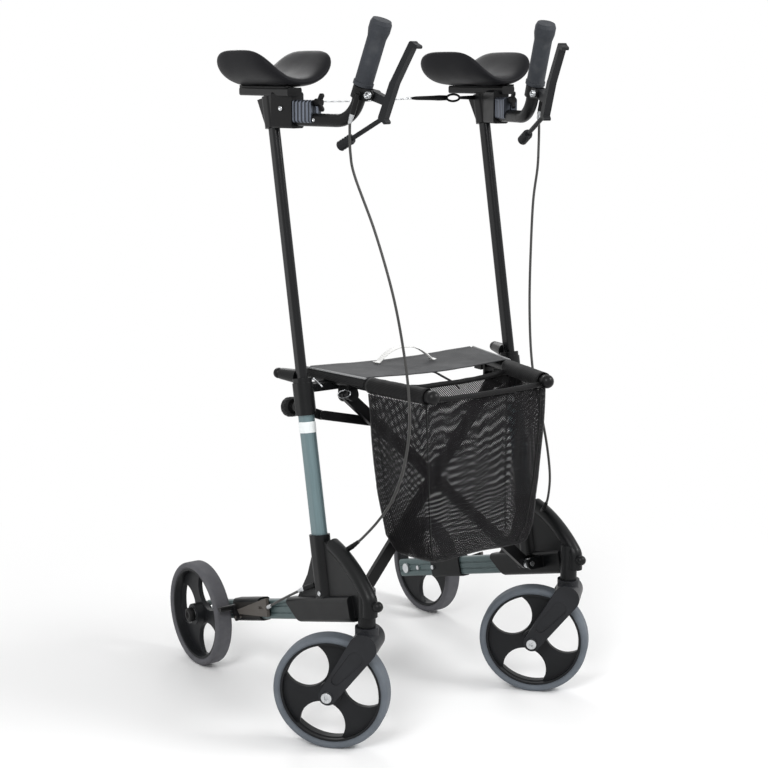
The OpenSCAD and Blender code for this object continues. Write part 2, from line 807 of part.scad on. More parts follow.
module link_lug() {
    on_fold() {
        translate([0, 0, link_layer - link_t - slack - lug_t]) linear_extrude(lug_t)
            tapered([brace_x + link_out, link_hinge_h], link_w / 2,
                [upright_x - post_w / 2, lug_h], link_w / 2);
        translate([brace_x + link_out, link_hinge_h, link_layer - link_t - slack - lug_t])
            cylinder(d = link_pin_d, h = lug_t + slack + link_t + link_pin_out);
    }
}
module frame_fittings(s) {
    reach = rear_wheel_x - tube_x + hub_w / 2 + slack;
    side(s) color(steel_colour) {
        on_tube() sideways() {
            translate([0, 0, -tube_w / 2]) cylinder(d = axle_d, h = tube_w / 2 + reach);
            translate([0, 0, -tube_w / 2 - axle_head_t]) cylinder(d = axle_head_d, h = axle_head_t);
            translate([0, 0, tube_w / 2])
                cylinder(d = axle_head_d, h = reach - tube_w / 2 - hub_w - 2 * slack);
            translate([0, 0, reach]) cylinder(d = hub_cap_d, h = hub_cap_l);
        }
        on_tube() for (p = [[tube_w / 2, inner_bolt_y], [tube_w / 2 + brake_wall, brake_rear + inner_bolt_d]])
            translate([-p[0], -p[1], 0]) rotate([0, -90, 0]) cylinder(d = inner_bolt_d, h = inner_bolt_t);
        on_fold() {
            translate([brace_x, 0, -cheek_in - cheek_t])
                cylinder(d = brace_pin_d, h = 2 * (cheek_in + cheek_t));
            translate([brace_x, 0, s == "left" ? 0 : -cheek_in])
                cylinder(d = washer_d, h = cheek_in);
        }
    }
}
module brake_housing(s) {
    wedge_x = tube_w / 2 + brake_wall;
    points = [for (p = [wedge_tip_share, wedge_top_share, wedge_low_share]) wheel_r * p];
    side(s) color(black_colour) on_tube() {
        difference() {
            union() {
                translate([0, -brake_rear, 0]) forward() linear_extrude(brake_front - brake_rear)
                    rounded(tube_w + 2 * brake_wall, tube_h + 2 * brake_wall, tube_round + brake_wall / 2);
                translate([wedge_x - cut, 0, 0]) rotate([90, 0, 90]) linear_extrude(wedge_t + cut)
                    polygon(points);
            }
            translate([0, tube_tail, 0]) forward() linear_extrude(tube_l)
                rounded(tube_w, tube_h, tube_round);
            translate([wedge_x + wedge_t / 2, tube_y(slot_share), tube_z(slot_share)])
                rotate([90, 0, 90]) linear_extrude(wedge_t) rotate([0, 0, 90]) oval(slot_w, slot_l);
        }
        translate([wedge_x, tube_y(shoe_pivot_share), tube_z(shoe_pivot_share)]) sideways()
            cylinder(d = shoe_pin_d, h = wedge_t + slack + shoe_arm_t + shoe_pin_out);
    }
}
module brake_shoe(s) {
    arm_x = tube_w / 2 + brake_wall + wedge_t + slack;
    side(s) color(rim_colour) on_tube() {
        translate([arm_x, 0, 0]) rotate([90, 0, 90]) difference() {
            linear_extrude(shoe_arm_t)
                tapered(wheel_r * shoe_pivot_share, shoe_arm_r, wheel_r * shoe_share, shoe_d / 2);
            translate([tube_y(shoe_pivot_share), tube_z(shoe_pivot_share), -cut])
                cylinder(d = shoe_pin_d + 2 * running, h = shoe_arm_t + 2 * cut);
        }
        translate([arm_x, tube_y(shoe_share), tube_z(shoe_share)]) sideways()
            cylinder(d = shoe_d, h = shoe_l);
    }
}
module brake_cable(s) {
    side(s) color(black_colour) {
        cord(route(cable_route(s), route_steps), cable_d, [1, 0, 0]);
        cord(route(low_cable, route_steps), cable_d, [1, 0, 0]);
    }
}

// Rear wheels
module rear_tyre(s) {
    side(s) color(dark_tyre_colour) translate([rear_wheel_x, rear_axle_y, wheel_r]) tyre_ring();
}
module rear_rim(s) {
    side(s) color(rim_colour) translate([rear_wheel_x, rear_axle_y, wheel_r])
        rim_body(-rear_dish, rear_spoke_turn);
}

// Casters
module fork(s) {
    on_caster(s) color(black_colour) {
        difference() {
            union() {
                translate([-fork_w / 2, 0, 0]) rotate([90, 0, 90]) linear_extrude(fork_w) {
                    tapered([0, crown_top_z - ring_t - crown_r], crown_r, [caster_trail, wheel_r], boss_r);
                }
                translate([0, 0, crown_top_z - ring_t - crown_r]) cylinder(d = crown_d, h = crown_r + ring_t);
            }
            translate([0, caster_trail, wheel_r]) sideways() {
                cylinder(r = wheel_r + tyre_clear, h = tyre_w + 2 * fork_gap, center = true, $fn = 96);
                cylinder(d = axle_d, h = fork_w + 2 * cut, center = true);
            }
            for (e = [-1, 1])
                translate([e * (fork_w / 2 - panel_depth / 2 + cut / 2) - panel_depth / 2 - cut / 2, 0, 0])
                    rotate([90, 0, 90]) linear_extrude(panel_depth + cut)
                        tapered([crown_r / 2, crown_top_z - 2 * crown_r], crown_r * panel_r_share,
                            [caster_trail - boss_r, wheel_r + 2 * boss_r], boss_r * panel_r_share);
        }
        translate([0, 0, crown_top_z - ring_t]) cylinder(d = stem_d, h = stem_top_z - crown_top_z + ring_t);
    }
}
module caster_axle(s) {
    on_caster(s) color(steel_colour) translate([0, caster_trail, wheel_r]) sideways() {
        cylinder(d = axle_d, h = fork_w, center = true);
        for (e = [-1, 1]) translate([0, 0, e * (hub_w / 2 + slack + spacer_l / 2)])
            cylinder(d = axle_head_d, h = spacer_l, center = true);
        for (e = [-1, 1]) translate([0, 0, e * (fork_w / 2 + bolt_t / 2)]) difference() {
            cylinder(d = bolt_d, h = bolt_t, center = true);
            translate([0, 0, e * bolt_t / 2]) cylinder(d = bolt_socket_d, h = bolt_t, center = true, $fn = 6);
        }
    }
}
module caster_tyre(s) {
    on_caster(s) color(grey_tyre_colour) translate([0, caster_trail, wheel_r]) tyre_ring();
}
module caster_rim(s) {
    on_caster(s) color(rim_colour) translate([0, caster_trail, wheel_r]) rim_body(0, caster_spoke_turn);
}

// Posts and forearm pads
module post(s) {
    side(s) color(rim_colour) on_upright()
        translate([0, 0, -post_inside]) linear_extrude(post_inside + post_top - post_wall) difference() {
            oval(post_w, post_d);
            oval(post_w - 2 * post_wall, post_d - 2 * post_wall);
        }
}
module post_head(s) {
    side(s) color(black_colour) {
        difference() {
            union() {
                on_upright() translate([0, 0, post_free]) {
                    linear_extrude(post_head_l) oval(head_w, head_depth);
                    translate([-gusset_w / 2, 0, 0]) rotate([90, 0, 90]) linear_extrude(gusset_w) polygon([
                        [-gusset_foot, gusset_lip], [gusset_foot, gusset_lip],
                        [head_depth / 2 + gusset_rear, post_head_l - gusset_lip],
                        [-head_depth / 2 - gusset_front, post_head_l - gusset_lip]
                    ]);
                }
                translate([upright_x, pad_rail_l - pad_rail_front, pad_rail_z]) forward()
                    linear_extrude(pad_rail_l) rounded(pad_rail_w, pad_rail_h, pad_rail_h / 4);
                on_handle() translate([0, bracket_l, 0]) forward() linear_extrude(bracket_l)
                    translate([0, (pad_rail_z - handle_z) / 2 - bracket_w / 4])
                        rounded(bracket_w, pad_rail_z - handle_z + bracket_w / 2, bracket_round);
            }
            on_upright() translate([0, 0, post_free - cut]) linear_extrude(post_head_l - post_wall + cut)
                oval(post_w, post_d);
            on_handle() translate([0, bar_tail + cut, 0]) forward()
                cylinder(d = bar_d + 2 * slack, h = 2 * bracket_l + bar_tail);
        }
    }
}
module bar_clamp(s) {
    side(s) color(steel_colour) on_handle() difference() {
        translate([0, -slack, (clamp_h - bar_d / 2) / 2]) forward() linear_extrude(clamp_l)
            rounded(clamp_w, clamp_h, bracket_round);
        translate([0, bar_tail, 0]) forward() cylinder(d = bar_d + 2 * slack, h = bar_tail + 2 * clamp_l);
        translate([-clamp_slit / 2, -2 * clamp_l, 0]) cube([clamp_slit, 3 * clamp_l, screw_rise - screw_d]);
        translate([0, 0, screw_rise]) forward()
            translate([0, 0, clamp_l / 2]) cylinder(d = screw_d + 2 * running, h = clamp_l);
    }
}
module wing_screw(s) {
    side(s) color(black_colour) on_handle() translate([0, -clamp_l - slack, screw_rise]) forward() {
        translate([0, 0, -clamp_l / 3]) cylinder(d = screw_d, h = clamp_l / 3 + cut);
        translate([0, 0, slack]) cylinder(d = screw_hub_d, h = screw_hub_l);
        translate([-wing_t / 2, 0, slack + screw_hub_l / 2]) rotate([90, 0, 90]) linear_extrude(wing_t)
            for (e = [-1, 1]) tapered([0, 0], wing_root_r, [e * wing_reach, wing_rise], wing_r);
    }
}
module forearm_pad(s) {
    count = len(pad_ring_share);
    points = [for (k = [0 : count - 1], i = [0 : pad_steps - 1])
        let (a = 360 * i / pad_steps, cx = cos(a), cy = sin(a),
            x = pad_w / 2 * sign(cx) * pow(abs(cx), pad_power_share) * pad_ring_share[k],
            y = pad_l / 2 * sign(cy) * pow(abs(cy), pad_power_share) * pad_ring_share[k],
            lift = pad_wing * pow(2 * x / pad_w, 2), rise = pad_rise_share[k])
        [x, y, lift * (pad_under_share + (1 - pad_under_share) * rise) + pad_t * rise]];
    side(s) color(pad_colour) translate([pad_x, pad_back, pad_z])
        polyhedron(
            concat(points, [[0, 0, pad_t], [0, 0, 0]]),
            concat(
                rings_faces(count, pad_steps),
                fan(count * pad_steps, 0, pad_steps, true),
                fan(count * pad_steps + 1, (count - 1) * pad_steps, pad_steps, false)
            ));
}

// Handles
module handle_bar(s) {
    side(s) color(black_colour) on_handle() {
        translate([0, bar_tail, 0]) forward() cylinder(d = bar_d, h = bar_tail + bar_reach);
        translate([0, -bar_reach, bar_bend_r]) rotate([0, 90, 180]) rotate([0, 0, -bend_lap])
            rotate_extrude(angle = bend_angle + 2 * bend_lap)
                translate([bar_bend_r, 0]) circle(d = bar_d - bend_slim);
        translate([0, -bend_out, bend_up]) rotate([grip_tilt, 0, 0])
            cylinder(d = bar_d, h = grip_start + grip_l - grip_cap);
    }
}
module hand_grip(s) {
    side(s) color(grip_colour) on_grip() translate([0, 0, grip_start]) difference() {
        union() {
            cylinder(d = grip_collar_d, h = grip_ring_l);
            cylinder(d = grip_d, h = grip_l - 4 * grip_ring_l);
            translate([0, 0, grip_l - 5 * grip_ring_l])
                cylinder(d1 = grip_d, d2 = grip_flare_d, h = 2 * grip_ring_l);
            translate([0, 0, grip_l - 3 * grip_ring_l]) cylinder(d = grip_flare_d, h = 2 * grip_ring_l);
            translate([0, 0, grip_l - grip_ring_l]) cylinder(d1 = grip_flare_d, d2 = grip_d, h = grip_ring_l);
        }
        translate([0, 0, -cut]) cylinder(d = bar_d, h = grip_l - grip_cap + cut);
    }
}
module brake_bracket(s) {
    cheek_x = lever_w / 2 + slack;
    side(s) color(black_colour) on_grip() difference() {
        union() {
            translate([0, 0, ring_low]) cylinder(d = ring_d, h = ring_l);
            for (e = [-1, 1])
                translate([e > 0 ? cheek_x : -cheek_x - lever_cheek_t, 0, 0]) rotate([90, 0, 90])
                    linear_extrude(lever_cheek_t)
                        tapered([-ring_d / 4, ring_low + ring_l / 2], ring_l / 2,
                            [-pivot_out, pivot_up], lever_eye_r);
            translate([-cheek_x - lever_cheek_t, -pivot_out, pivot_up]) sideways()
                cylinder(d = pivot_pin_d, h = 2 * (cheek_x + lever_cheek_t));
            rod([stop_x, -stop_out, stop_top], [stop_x, -stop_out, stop_low], stop_d);
            rod([0, -stop_out, ring_low + ring_l / 2], [stop_x, -stop_out, ring_low + ring_l / 2], stop_d);
        }
        translate([0, 0, -ring_l]) cylinder(d = bar_d, h = 3 * ring_l);
    }
}
module brake_lever(s) {
    foot = [0, -lever_gap, lever_foot_z];
    knob_end = foot + [0, rod_back, -rod_drop];
    along = unit(knob_end - foot);
    lever_mid = [
        -lever_gap - lever_mid_share * (lever_tip_out - lever_gap) + lever_bow,
        lever_foot_z + lever_mid_share * (lever_tip_z - lever_foot_z)
    ];
    side(s) color(black_colour) on_grip() {
        difference() {
            translate([-lever_w / 2, 0, 0]) rotate([90, 0, 90]) linear_extrude(lever_w) {
                tapered([-pivot_out, pivot_up], lever_eye_r,
                    [-lever_gap, pivot_up + lever_root_rise], lever_r);
                tapered([-lever_gap, lever_foot_z], lever_r, lever_mid, lever_r - lever_thin);
                tapered(lever_mid, lever_r - 2 * lever_thin, [-lever_tip_out, lever_tip_z], lever_tip_r);
                tapered([-lever_gap, lever_foot_z], lever_neck_r,
                    [-lever_gap - lever_toe[0], lever_foot_z - lever_toe[1]], lever_toe_r);
                tapered([-lever_tip_out, lever_tip_z], lever_neck_r,
                    [-lever_tip_out - lever_hook, lever_tip_z], lever_hook_r);
            }
            translate([-lever_w, -pivot_out, pivot_up]) sideways()
                cylinder(d = pivot_pin_d + 2 * running, h = 2 * lever_w);
        }
        rod(foot, knob_end - rod_knob_l / 2 * along, rod_d);
        rod_knob(foot, knob_end);
    }
}
module rod_knob(from, to) {
    v = to - from;
    step = rod_knob_l / rod_knob_ribs;
    translate(to) rotate([0, acos(v[2] / norm(v)), atan2(v[1], v[0])]) translate([0, 0, -rod_knob_l])
        for (k = [0 : rod_knob_ribs - 1]) translate([0, 0, k * step]) {
            cylinder(d = rod_knob_d - 2 * rod_knob_groove, h = step);
            cylinder(d1 = rod_knob_d - 2 * rod_knob_groove, d2 = rod_knob_d, h = step * rod_knob_share);
        }
}
module height_knob(s) {
    side(s) color(black_colour) on_upright() translate([0, collar_d / 2 + knob_boss_l, -knob_drop])
        rotate([-90, 0, 0]) {
            translate([0, 0, slack - knob_boss_l - sleeve_wall])
                cylinder(d = knob_stud_d, h = knob_boss_l + sleeve_wall + cut);
            translate([0, 0, slack]) cylinder(d = knob_neck_d, h = knob_neck_l);
            translate([0, 0, slack + knob_neck_l]) difference() {
                union() {
                    cylinder(d1 = knob_end_d, d2 = knob_d, h = knob_l / 4);
                    translate([0, 0, knob_l / 4]) cylinder(d = knob_d, h = knob_l / 2);
                    translate([0, 0, 3 * knob_l / 4]) cylinder(d1 = knob_d, d2 = knob_end_d, h = knob_l / 4);
                }
                for (k = [0 : knob_ribs - 1]) rotate([0, 0, 360 * k / knob_ribs])
                    translate([knob_d / 2 + knob_groove_d / 6, 0, -cut])
                        cylinder(d = knob_groove_d, h = knob_l + 2 * cut, $fn = 16);
            }
        }
}

// Seat, brace and basket
module seat_rail(s) {
    front = s == "left";
    side(s) color(black_colour) {
        on_rail() forward() {
            cylinder(d = rail_d, h = rail_l);
            translate([0, 0, rail_l]) sphere(d = rail_ball_d);
            sphere(d = rail_d);
        }
        on_fold() {
            for (e = [-1, 1])
                translate([0, 0, e > 0 ? cheek_in : -cheek_in - cheek_t]) linear_extrude(cheek_t)
                    tapered([brace_top_x, brace_h], cheek_r,
                        [brace_top_x, brace_h + rail_pivot_drop * cheek_top_shares[0]],
                        cheek_r * cheek_top_shares[1]);
            translate([brace_top_x, brace_h, -cheek_in - cheek_t])
                cylinder(d = brace_pin_d, h = 2 * (cheek_in + cheek_t));
            translate([brace_top_x, brace_h, front ? -cheek_in : 0]) cylinder(d = washer_d, h = cheek_in);
        }
    }
}
module cross_bar(s) {
    front = s == "right";
    reach = front ? 1 : -1;
    low = [-reach * brace_x, 0];
    high = [reach * brace_top_x, brace_h];
    middle = [0, brace_h * brace_x / (brace_x + brace_top_x)];
    translate([mid_x, mid_y, 0]) color(black_colour) on_fold() {
        difference() {
            translate([0, 0, front ? brace_gap : -brace_gap - brace_t]) linear_extrude(brace_t)
                tapered(low, brace_w / 2, high, brace_w / 2);
            for (p = front ? [low, high] : [low, high, middle])
                translate([p[0], p[1], -2 * brace_t])
                    cylinder(d = brace_pin_d + 2 * running, h = 4 * brace_t);
        }
        if (front) translate([middle[0], middle[1], -brace_t - brace_gap - slack]) {
            cylinder(d = brace_pin_d, h = brace_t + 2 * brace_gap + slack);
            translate([0, 0, -cheek_t / 2]) cylinder(d = rivet_d, h = cheek_t / 2);
        }
    }
}
module stay_link(s) {
    hinge = [brace_x + link_out, link_hinge_h];
    end = [brace_x - link_open[0], link_open[1]];
    bar_face = s == "left" ? brace_gap : -brace_gap - brace_t;
    side(s) color(black_colour) on_fold() {
        difference() {
            translate([0, 0, link_layer - link_t]) linear_extrude(link_t)
                tapered(hinge, link_w / 2, end, link_w / 2);
            translate([hinge[0], hinge[1], link_layer - 2 * link_t])
                cylinder(d = link_pin_d + 2 * running, h = 3 * link_t);
        }
        translate([end[0], end[1], link_layer])
            cylinder(d = link_stud_d, h = bar_face - link_layer - 2 * slack);
    }
}
module seat_fabric() {
    rows = [0 : 1];
    low = rail_d / 2 + slack;
    half_rear = rail_at(rail_y + seat_lap) + seat_lap;
    half_front = rail_at(rail_y + seat_lap + seat_l) + seat_lap;
    top = [for (k = rows, i = [0 : seat_steps])
        let (u = 2 * i / seat_steps - 1, half = k == 0 ? half_rear : half_front,
            flat = 1 - rail_d / half, inside = max(0, 1 - pow(u / flat, 2)))
        [u * half, -rail_y - seat_lap - k * seat_l, rail_z + low + seat_t - seat_sag * inside]];
    n = seat_steps + 1;
    low_points = [for (p = top) p - [0, 0, seat_t]];
    quads = concat(
        [for (i = [0 : seat_steps - 1]) [i, i + 1, n + i + 1, n + i]],
        [for (i = [0 : seat_steps - 1]) [2 * n + i, 3 * n + i, 3 * n + i + 1, 2 * n + i + 1]],
        [for (i = [0 : seat_steps - 1]) [i, 2 * n + i, 2 * n + i + 1, i + 1]],
        [for (i = [0 : seat_steps - 1]) [n + i, n + i + 1, 3 * n + i + 1, 3 * n + i]],
        [[0, n, 3 * n, 2 * n], [n - 1, 3 * n - 1, 4 * n - 1, 2 * n - 1]]
    );
    translate([mid_x, mid_y, 0]) color(mesh_colour)
        polyhedron(concat(top, low_points),
            concat([for (q = quads) [q[0], q[1], q[2]]], [for (q = quads) [q[0], q[2], q[3]]]));
}
module seat_strap() {
    radius = (strap_span * strap_span / 4 + strap_rise * strap_rise) / (2 * strap_rise);
    half = asin(strap_span / 2 / radius);
    seat_top = rail_z + rail_d / 2 + slack + seat_t - seat_sag;
    strap_low = seat_top + seat_sag * strap_sink_share;
    translate([mid_x, mid_y - rail_y - seat_l * strap_at_share, strap_low + strap_rise - radius])
        color(strap_colour) forward() rotate([0, 0, 90 - half]) rotate_extrude(angle = 2 * half, $fn = 96)
            translate([radius, 0]) square([strap_t, strap_w]);
}
function basket_points(share, in, wall) =
    let (rear_y = rail_y + seat_lap + seat_l + basket_rear_gap, front_y = rail_y + rail_l - basket_front_gap,
        y_rear = -rear_y - in * (front_y - rear_y) * basket_toe_shares[0] - wall,
        y_front = -front_y + in * (front_y - rear_y) * basket_toe_shares[1] + wall,
        x_rear = rail_at(rear_y) * (1 - in) - wall, x_front = rail_at(front_y) * (1 - in) - wall,
        r = basket_round - wall, top_z = rail_z - rail_d / 2 - sleeve_t,
        z = top_z - share * (basket_h - sleeve_t - wall),
        corners = [[x_rear, y_rear, 1, -1], [-x_rear, y_rear, -1, -1],
            [-x_front, y_front, -1, 1], [x_front, y_front, 1, 1]],
        starts = [0, 90, 180, 270])
    [for (c = [0 : 3], i = [0 : basket_corner_steps - 1])
        let (a = starts[c] + 90 * i / (basket_corner_steps - 1))
        [corners[c][0] - corners[c][2] * r + r * cos(a), corners[c][1] + corners[c][3] * r + r * sin(a), z]];
module basket() {
    n = 4 * basket_corner_steps;
    levels = len(basket_level_share);
    outer = [for (k = [0 : levels - 1]) each basket_points(basket_level_share[k], basket_in_share[k], 0)];
    inner = [for (k = [levels - 1 : -1 : 0])
        each basket_points(basket_level_share[k], basket_in_share[k], basket_wall)];
    shell = concat(inner, outer);
    rings = 2 * levels;
    floor_low = len(shell);
    floor_y = -rail_y - rail_l * basket_floor_share;
    sleeve_run = rail_l - seat_lap - seat_l - basket_rear_gap - basket_front_gap;
    translate([mid_x, mid_y, 0]) color(rim_colour) {
        polyhedron(
            concat(shell, [[0, floor_y, outer[len(outer) - 1][2]], [0, floor_y, inner[0][2]]]),
            concat(
                rings_faces(rings, n),
                fan(floor_low, (rings - 1) * n, n, false),
                fan(floor_low + 1, 0, n, true)
            ));
        for (e = [-1, 1]) mirror([e < 0 ? 1 : 0, 0, 0]) on_rail()
            translate([0, -seat_lap - seat_l - basket_rear_gap, 0]) forward() difference() {
                cylinder(d = rail_d + 2 * sleeve_t + 2 * slack, h = sleeve_run);
                translate([0, 0, -cut]) cylinder(d = rail_d + 2 * slack, h = rail_l);
            }
    }
}

// Tether
module tether_wire() {
    start = -upright_x + head_w / 2 + slack;
    points = [for (k = [0 : wire_steps])
        let (t = k / wire_steps, sag = 4 * wire_sag * t * (1 - t))
        [start + t * (hook_start - start), -wire_y - t * wire_y, wire_z - sag]];
    translate([mid_x, mid_y, 0]) color(steel_colour) cord(points, wire_d, [0, 0, 1]);
}
module tether_hook() {
    eye = hook_start + hook_l;
    translate([mid_x, mid_y - 2 * wire_y, wire_z - hook_t / 2]) color(black_colour)
        linear_extrude(hook_t) difference() {
            union() {
                polygon([for (e = [-1, 1], k = e > 0 ? [1, 0] : [0, 1])
                    [k > 0 ? eye : hook_start + slack, e * (k > 0 ? hook_neck_w : hook_tip_w) / 2]]);
                translate([eye, 0]) circle(d = hook_w);
                translate([eye, -hook_tab_w / 2])
                    square([upright_x - head_w / 2 - slack - eye, hook_tab_w]);
            }
            translate([eye, 0]) circle(d = hook_eye_d);
        }
}

for (s = sides) {
    lower_tube(s);
    upright(s);
    bridge(s);
    collar(s);
    frame_fittings(s);
    brake_housing(s);
    brake_cable(s);
    post(s);
    post_head(s);
    forearm_pad(s);
    bar_clamp(s);
    handle_bar(s);
    hand_grip(s);
    brake_bracket(s);
    brake_lever(s);
    height_knob(s);
    wing_screw(s);
    rear_tyre(s);
    rear_rim(s);
    brake_shoe(s);
    fork(s);
    caster_axle(s);
    caster_tyre(s);
    caster_rim(s);
    seat_rail(s);
    cross_bar(s);
    stay_link(s);
}
seat_fabric();
seat_strap();
basket();
tether_wire();
tether_hook();
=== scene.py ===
"""Looks of the upright walker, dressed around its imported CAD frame.

Metres, in the CAD's own frame: +Z is up, -Y the walking direction, +X the user's left.
"right" is the side near the camera. A point of one side is given as on the left half.
"""
import math

import bpy
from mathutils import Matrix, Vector, noise


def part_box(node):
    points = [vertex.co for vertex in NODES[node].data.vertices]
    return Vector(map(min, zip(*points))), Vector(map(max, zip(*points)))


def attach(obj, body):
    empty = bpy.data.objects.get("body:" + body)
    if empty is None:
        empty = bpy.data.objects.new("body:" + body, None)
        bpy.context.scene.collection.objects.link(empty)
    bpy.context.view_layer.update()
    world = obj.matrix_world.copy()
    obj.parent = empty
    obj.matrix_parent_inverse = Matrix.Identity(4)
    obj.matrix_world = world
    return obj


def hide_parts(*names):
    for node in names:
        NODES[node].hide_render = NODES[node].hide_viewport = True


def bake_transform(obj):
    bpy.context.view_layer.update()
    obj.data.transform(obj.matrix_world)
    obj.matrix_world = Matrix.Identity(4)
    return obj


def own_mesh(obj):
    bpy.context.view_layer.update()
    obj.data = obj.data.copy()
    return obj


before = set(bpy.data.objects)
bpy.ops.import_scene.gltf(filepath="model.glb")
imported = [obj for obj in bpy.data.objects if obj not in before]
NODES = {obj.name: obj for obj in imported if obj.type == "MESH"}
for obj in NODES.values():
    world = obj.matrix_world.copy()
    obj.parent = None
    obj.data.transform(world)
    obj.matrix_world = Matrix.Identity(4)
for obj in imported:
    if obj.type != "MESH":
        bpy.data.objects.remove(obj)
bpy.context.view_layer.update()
SIDES = {"right": -1, "left": 1}


def middle(node):
    """Centre of a CAD node's box."""
    low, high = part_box(node)
    return (low + high) / 2


# Driving sizes of the CAD that the dressed pieces sit on
REAR_AXLE_Y = 0.235
MID_X = (middle("right_upright").x + middle("left_upright").x) / 2
MID_Y = middle("right_rear_tyre").y - REAR_AXLE_Y
LEAN = math.radians(11.2)
UPRIGHT_X, UPRIGHT_Y, COLLAR_TOP_Z = 0.227, 0.0859, 0.611
UPRIGHT_W, UPRIGHT_D = 0.022, 0.034
RAIL_X, RAIL_Y, RAIL_Z, RAIL_R = 0.178, 0.022, 0.605, 0.011
RAIL_TOE = math.radians(10.65)


def place(side, x, y, z):
    """A point of one side of the walker."""
    return Vector((MID_X + SIDES[side] * x, MID_Y + y, z))


def rail_at(y):
    """Distance of a rail's axis from the middle plane, y in front of the middle."""
    return RAIL_X - (y - RAIL_Y) * math.tan(RAIL_TOE)


HANDLE_X, HANDLE_Y, HANDLE_Z = 0.217, 0.0639, 1.0488
HANDLE_TOE, GRIP_TILT = math.radians(15), math.radians(22)
GRIP_OUT, GRIP_UP = 0.1364, 0.0313


def on_handle(side, x, y, z):
    """A point in the toed-in frame of a handle bar: x outward, y back, z up."""
    return place(side, HANDLE_X + x * math.cos(HANDLE_TOE) + y * math.sin(HANDLE_TOE),
                 -HANDLE_Y - x * math.sin(HANDLE_TOE) + y * math.cos(HANDLE_TOE), HANDLE_Z + z)


def on_grip(side, x, y, z):
    """A point in the tilted frame of a hand grip: x outward, y back, z up the grip."""
    return on_handle(side, x, -GRIP_OUT + y * math.cos(GRIP_TILT) - z * math.sin(GRIP_TILT),
                     GRIP_UP + y * math.sin(GRIP_TILT) + z * math.cos(GRIP_TILT))


def on_upright(side, x, y, z):
    """A point in the leaning frame at the collar's top: x outward, y back, z up the post."""
    return place(side, UPRIGHT_X + x,
                 -UPRIGHT_Y + y * math.cos(LEAN) + z * math.sin(LEAN),
                 COLLAR_TOP_Z - y * math.sin(LEAN) + z * math.cos(LEAN))


# Camera, light and floor

CAMERA_AT = (-1.5752, -2.3263, 1.1283)
CAMERA_PITCH, CAMERA_YAW = 90 - 11.429, -34.128
CAMERA_LENS, CAMERA_SENSOR = 72.57, 36.0
AMBIENT = 0.62
FLOOR_HALF = 40.0
FLOOR_NEAR, FLOOR_FAR = 0.55, 1.35
FLOOR_GREY, FLOOR_ROUGH = 0.93, 0.9
LAMPS = {
    # place, aim, size and watts
    "key": ((-2.4, -1.9, 2.6), (0.0, 0.0, 0.6), 1.2, 58.0),
    "fill": ((1.6, -1.8, 2.2), (0.0, -0.2, 0.4), 0.8, 40.0),
    "back": ((0.9, 2.6, 2.3), (0.0, 0.0, 0.7), 1.4, 22.0),
}


def aim(obj, at, target):
    """Stands an object at a place, looking at a target."""
    obj.location = at
    obj.rotation_euler = (Vector(target) - Vector(at)).to_track_quat("-Z", "Y").to_euler()


def make_camera():
    data = bpy.data.cameras.new("camera")
    data.lens, data.sensor_width = CAMERA_LENS, CAMERA_SENSOR
    camera = bpy.data.objects.new("camera", data)
    camera.location = (MID_X + CAMERA_AT[0], MID_Y + CAMERA_AT[1], CAMERA_AT[2])
    camera.rotation_euler = (math.radians(CAMERA_PITCH), 0, math.radians(CAMERA_YAW))
    bpy.context.scene.collection.objects.link(camera)
    bpy.context.scene.camera = camera


def make_lights():
    for name, (at, target, size, watts) in LAMPS.items():
        data = bpy.data.lights.new(name, "AREA")
        data.shape, data.size, data.energy = "SQUARE", size, watts
        lamp = bpy.data.objects.new(name, data)
        aim(lamp, at, target)
        bpy.context.scene.collection.objects.link(lamp)
    world = bpy.data.worlds.new("studio")
    bpy.context.scene.world = world
    world.use_nodes = True
    nodes, links = world.node_tree.nodes, world.node_tree.links
    strength = nodes.new("ShaderNodeMapRange")
    strength.inputs["To Min"].default_value = AMBIENT
    links.new(seen_rays(nodes, links), strength.inputs["Value"])
    links.new(strength.outputs["Result"], nodes["Background"].inputs["Strength"])
    nodes["Background"].inputs["Color"].default_value = (1, 1, 1, 1)


def seen_rays(nodes, links):
    """One socket that is 1 for camera, glossy and transmission rays, and 0 for light on the object."""
    path = nodes.new("ShaderNodeLightPath")
    total = path.outputs["Is Camera Ray"]
    for kind in ("Is Glossy Ray", "Is Transmission Ray"):
        plus = nodes.new("ShaderNodeMath")
        plus.operation, plus.use_clamp = "ADD", True
        links.new(total, plus.inputs[0])
        links.new(path.outputs[kind], plus.inputs[1])
        total = plus.outputs[0]
    return total


def make_floor():
    """A pale floor that keeps the shadow near the walker and runs out into the white background."""
    made = Finish("floor", (FLOOR_GREY, FLOOR_GREY, FLOOR_GREY, 1), FLOOR_ROUGH, Specular_IOR_Level=0.0)
    distance = made.node("VectorMath", operation="LENGTH")
    made.links.new(made.node("TexCoord").outputs["Object"], distance.inputs[0])
    far = made.node("MapRange", interpolation_type="SMOOTHSTEP", From_Min=FLOOR_NEAR, From_Max=FLOOR_FAR)
    made.links.new(distance.outputs["Value"], far.inputs["Value"])
    mix = made.node("MixShader")
    white = made.math("MULTIPLY", far.outputs["Result"], seen_rays(made.nodes, made.links))
    made.links.new(white, mix.inputs["Fac"])
    made.links.new(made.shader.outputs[0], mix.inputs[1])
    made.links.new(made.node("Emission").outputs[0], mix.inputs[2])
    made.links.new(mix.outputs[0], made.nodes["Material Output"].inputs["Surface"])
    mesh = bpy.data.meshes.new("floor")
    h = FLOOR_HALF
    mesh.from_pydata([(-h, -h, 0), (h, -h, 0), (h, h, 0), (-h, h, 0)], [], [(0, 1, 2, 3)])
    mesh.materials.append(made.material)
    floor = bpy.data.objects.new("floor", mesh)
    bpy.context.scene.collection.objects.link(floor)


# Finishes


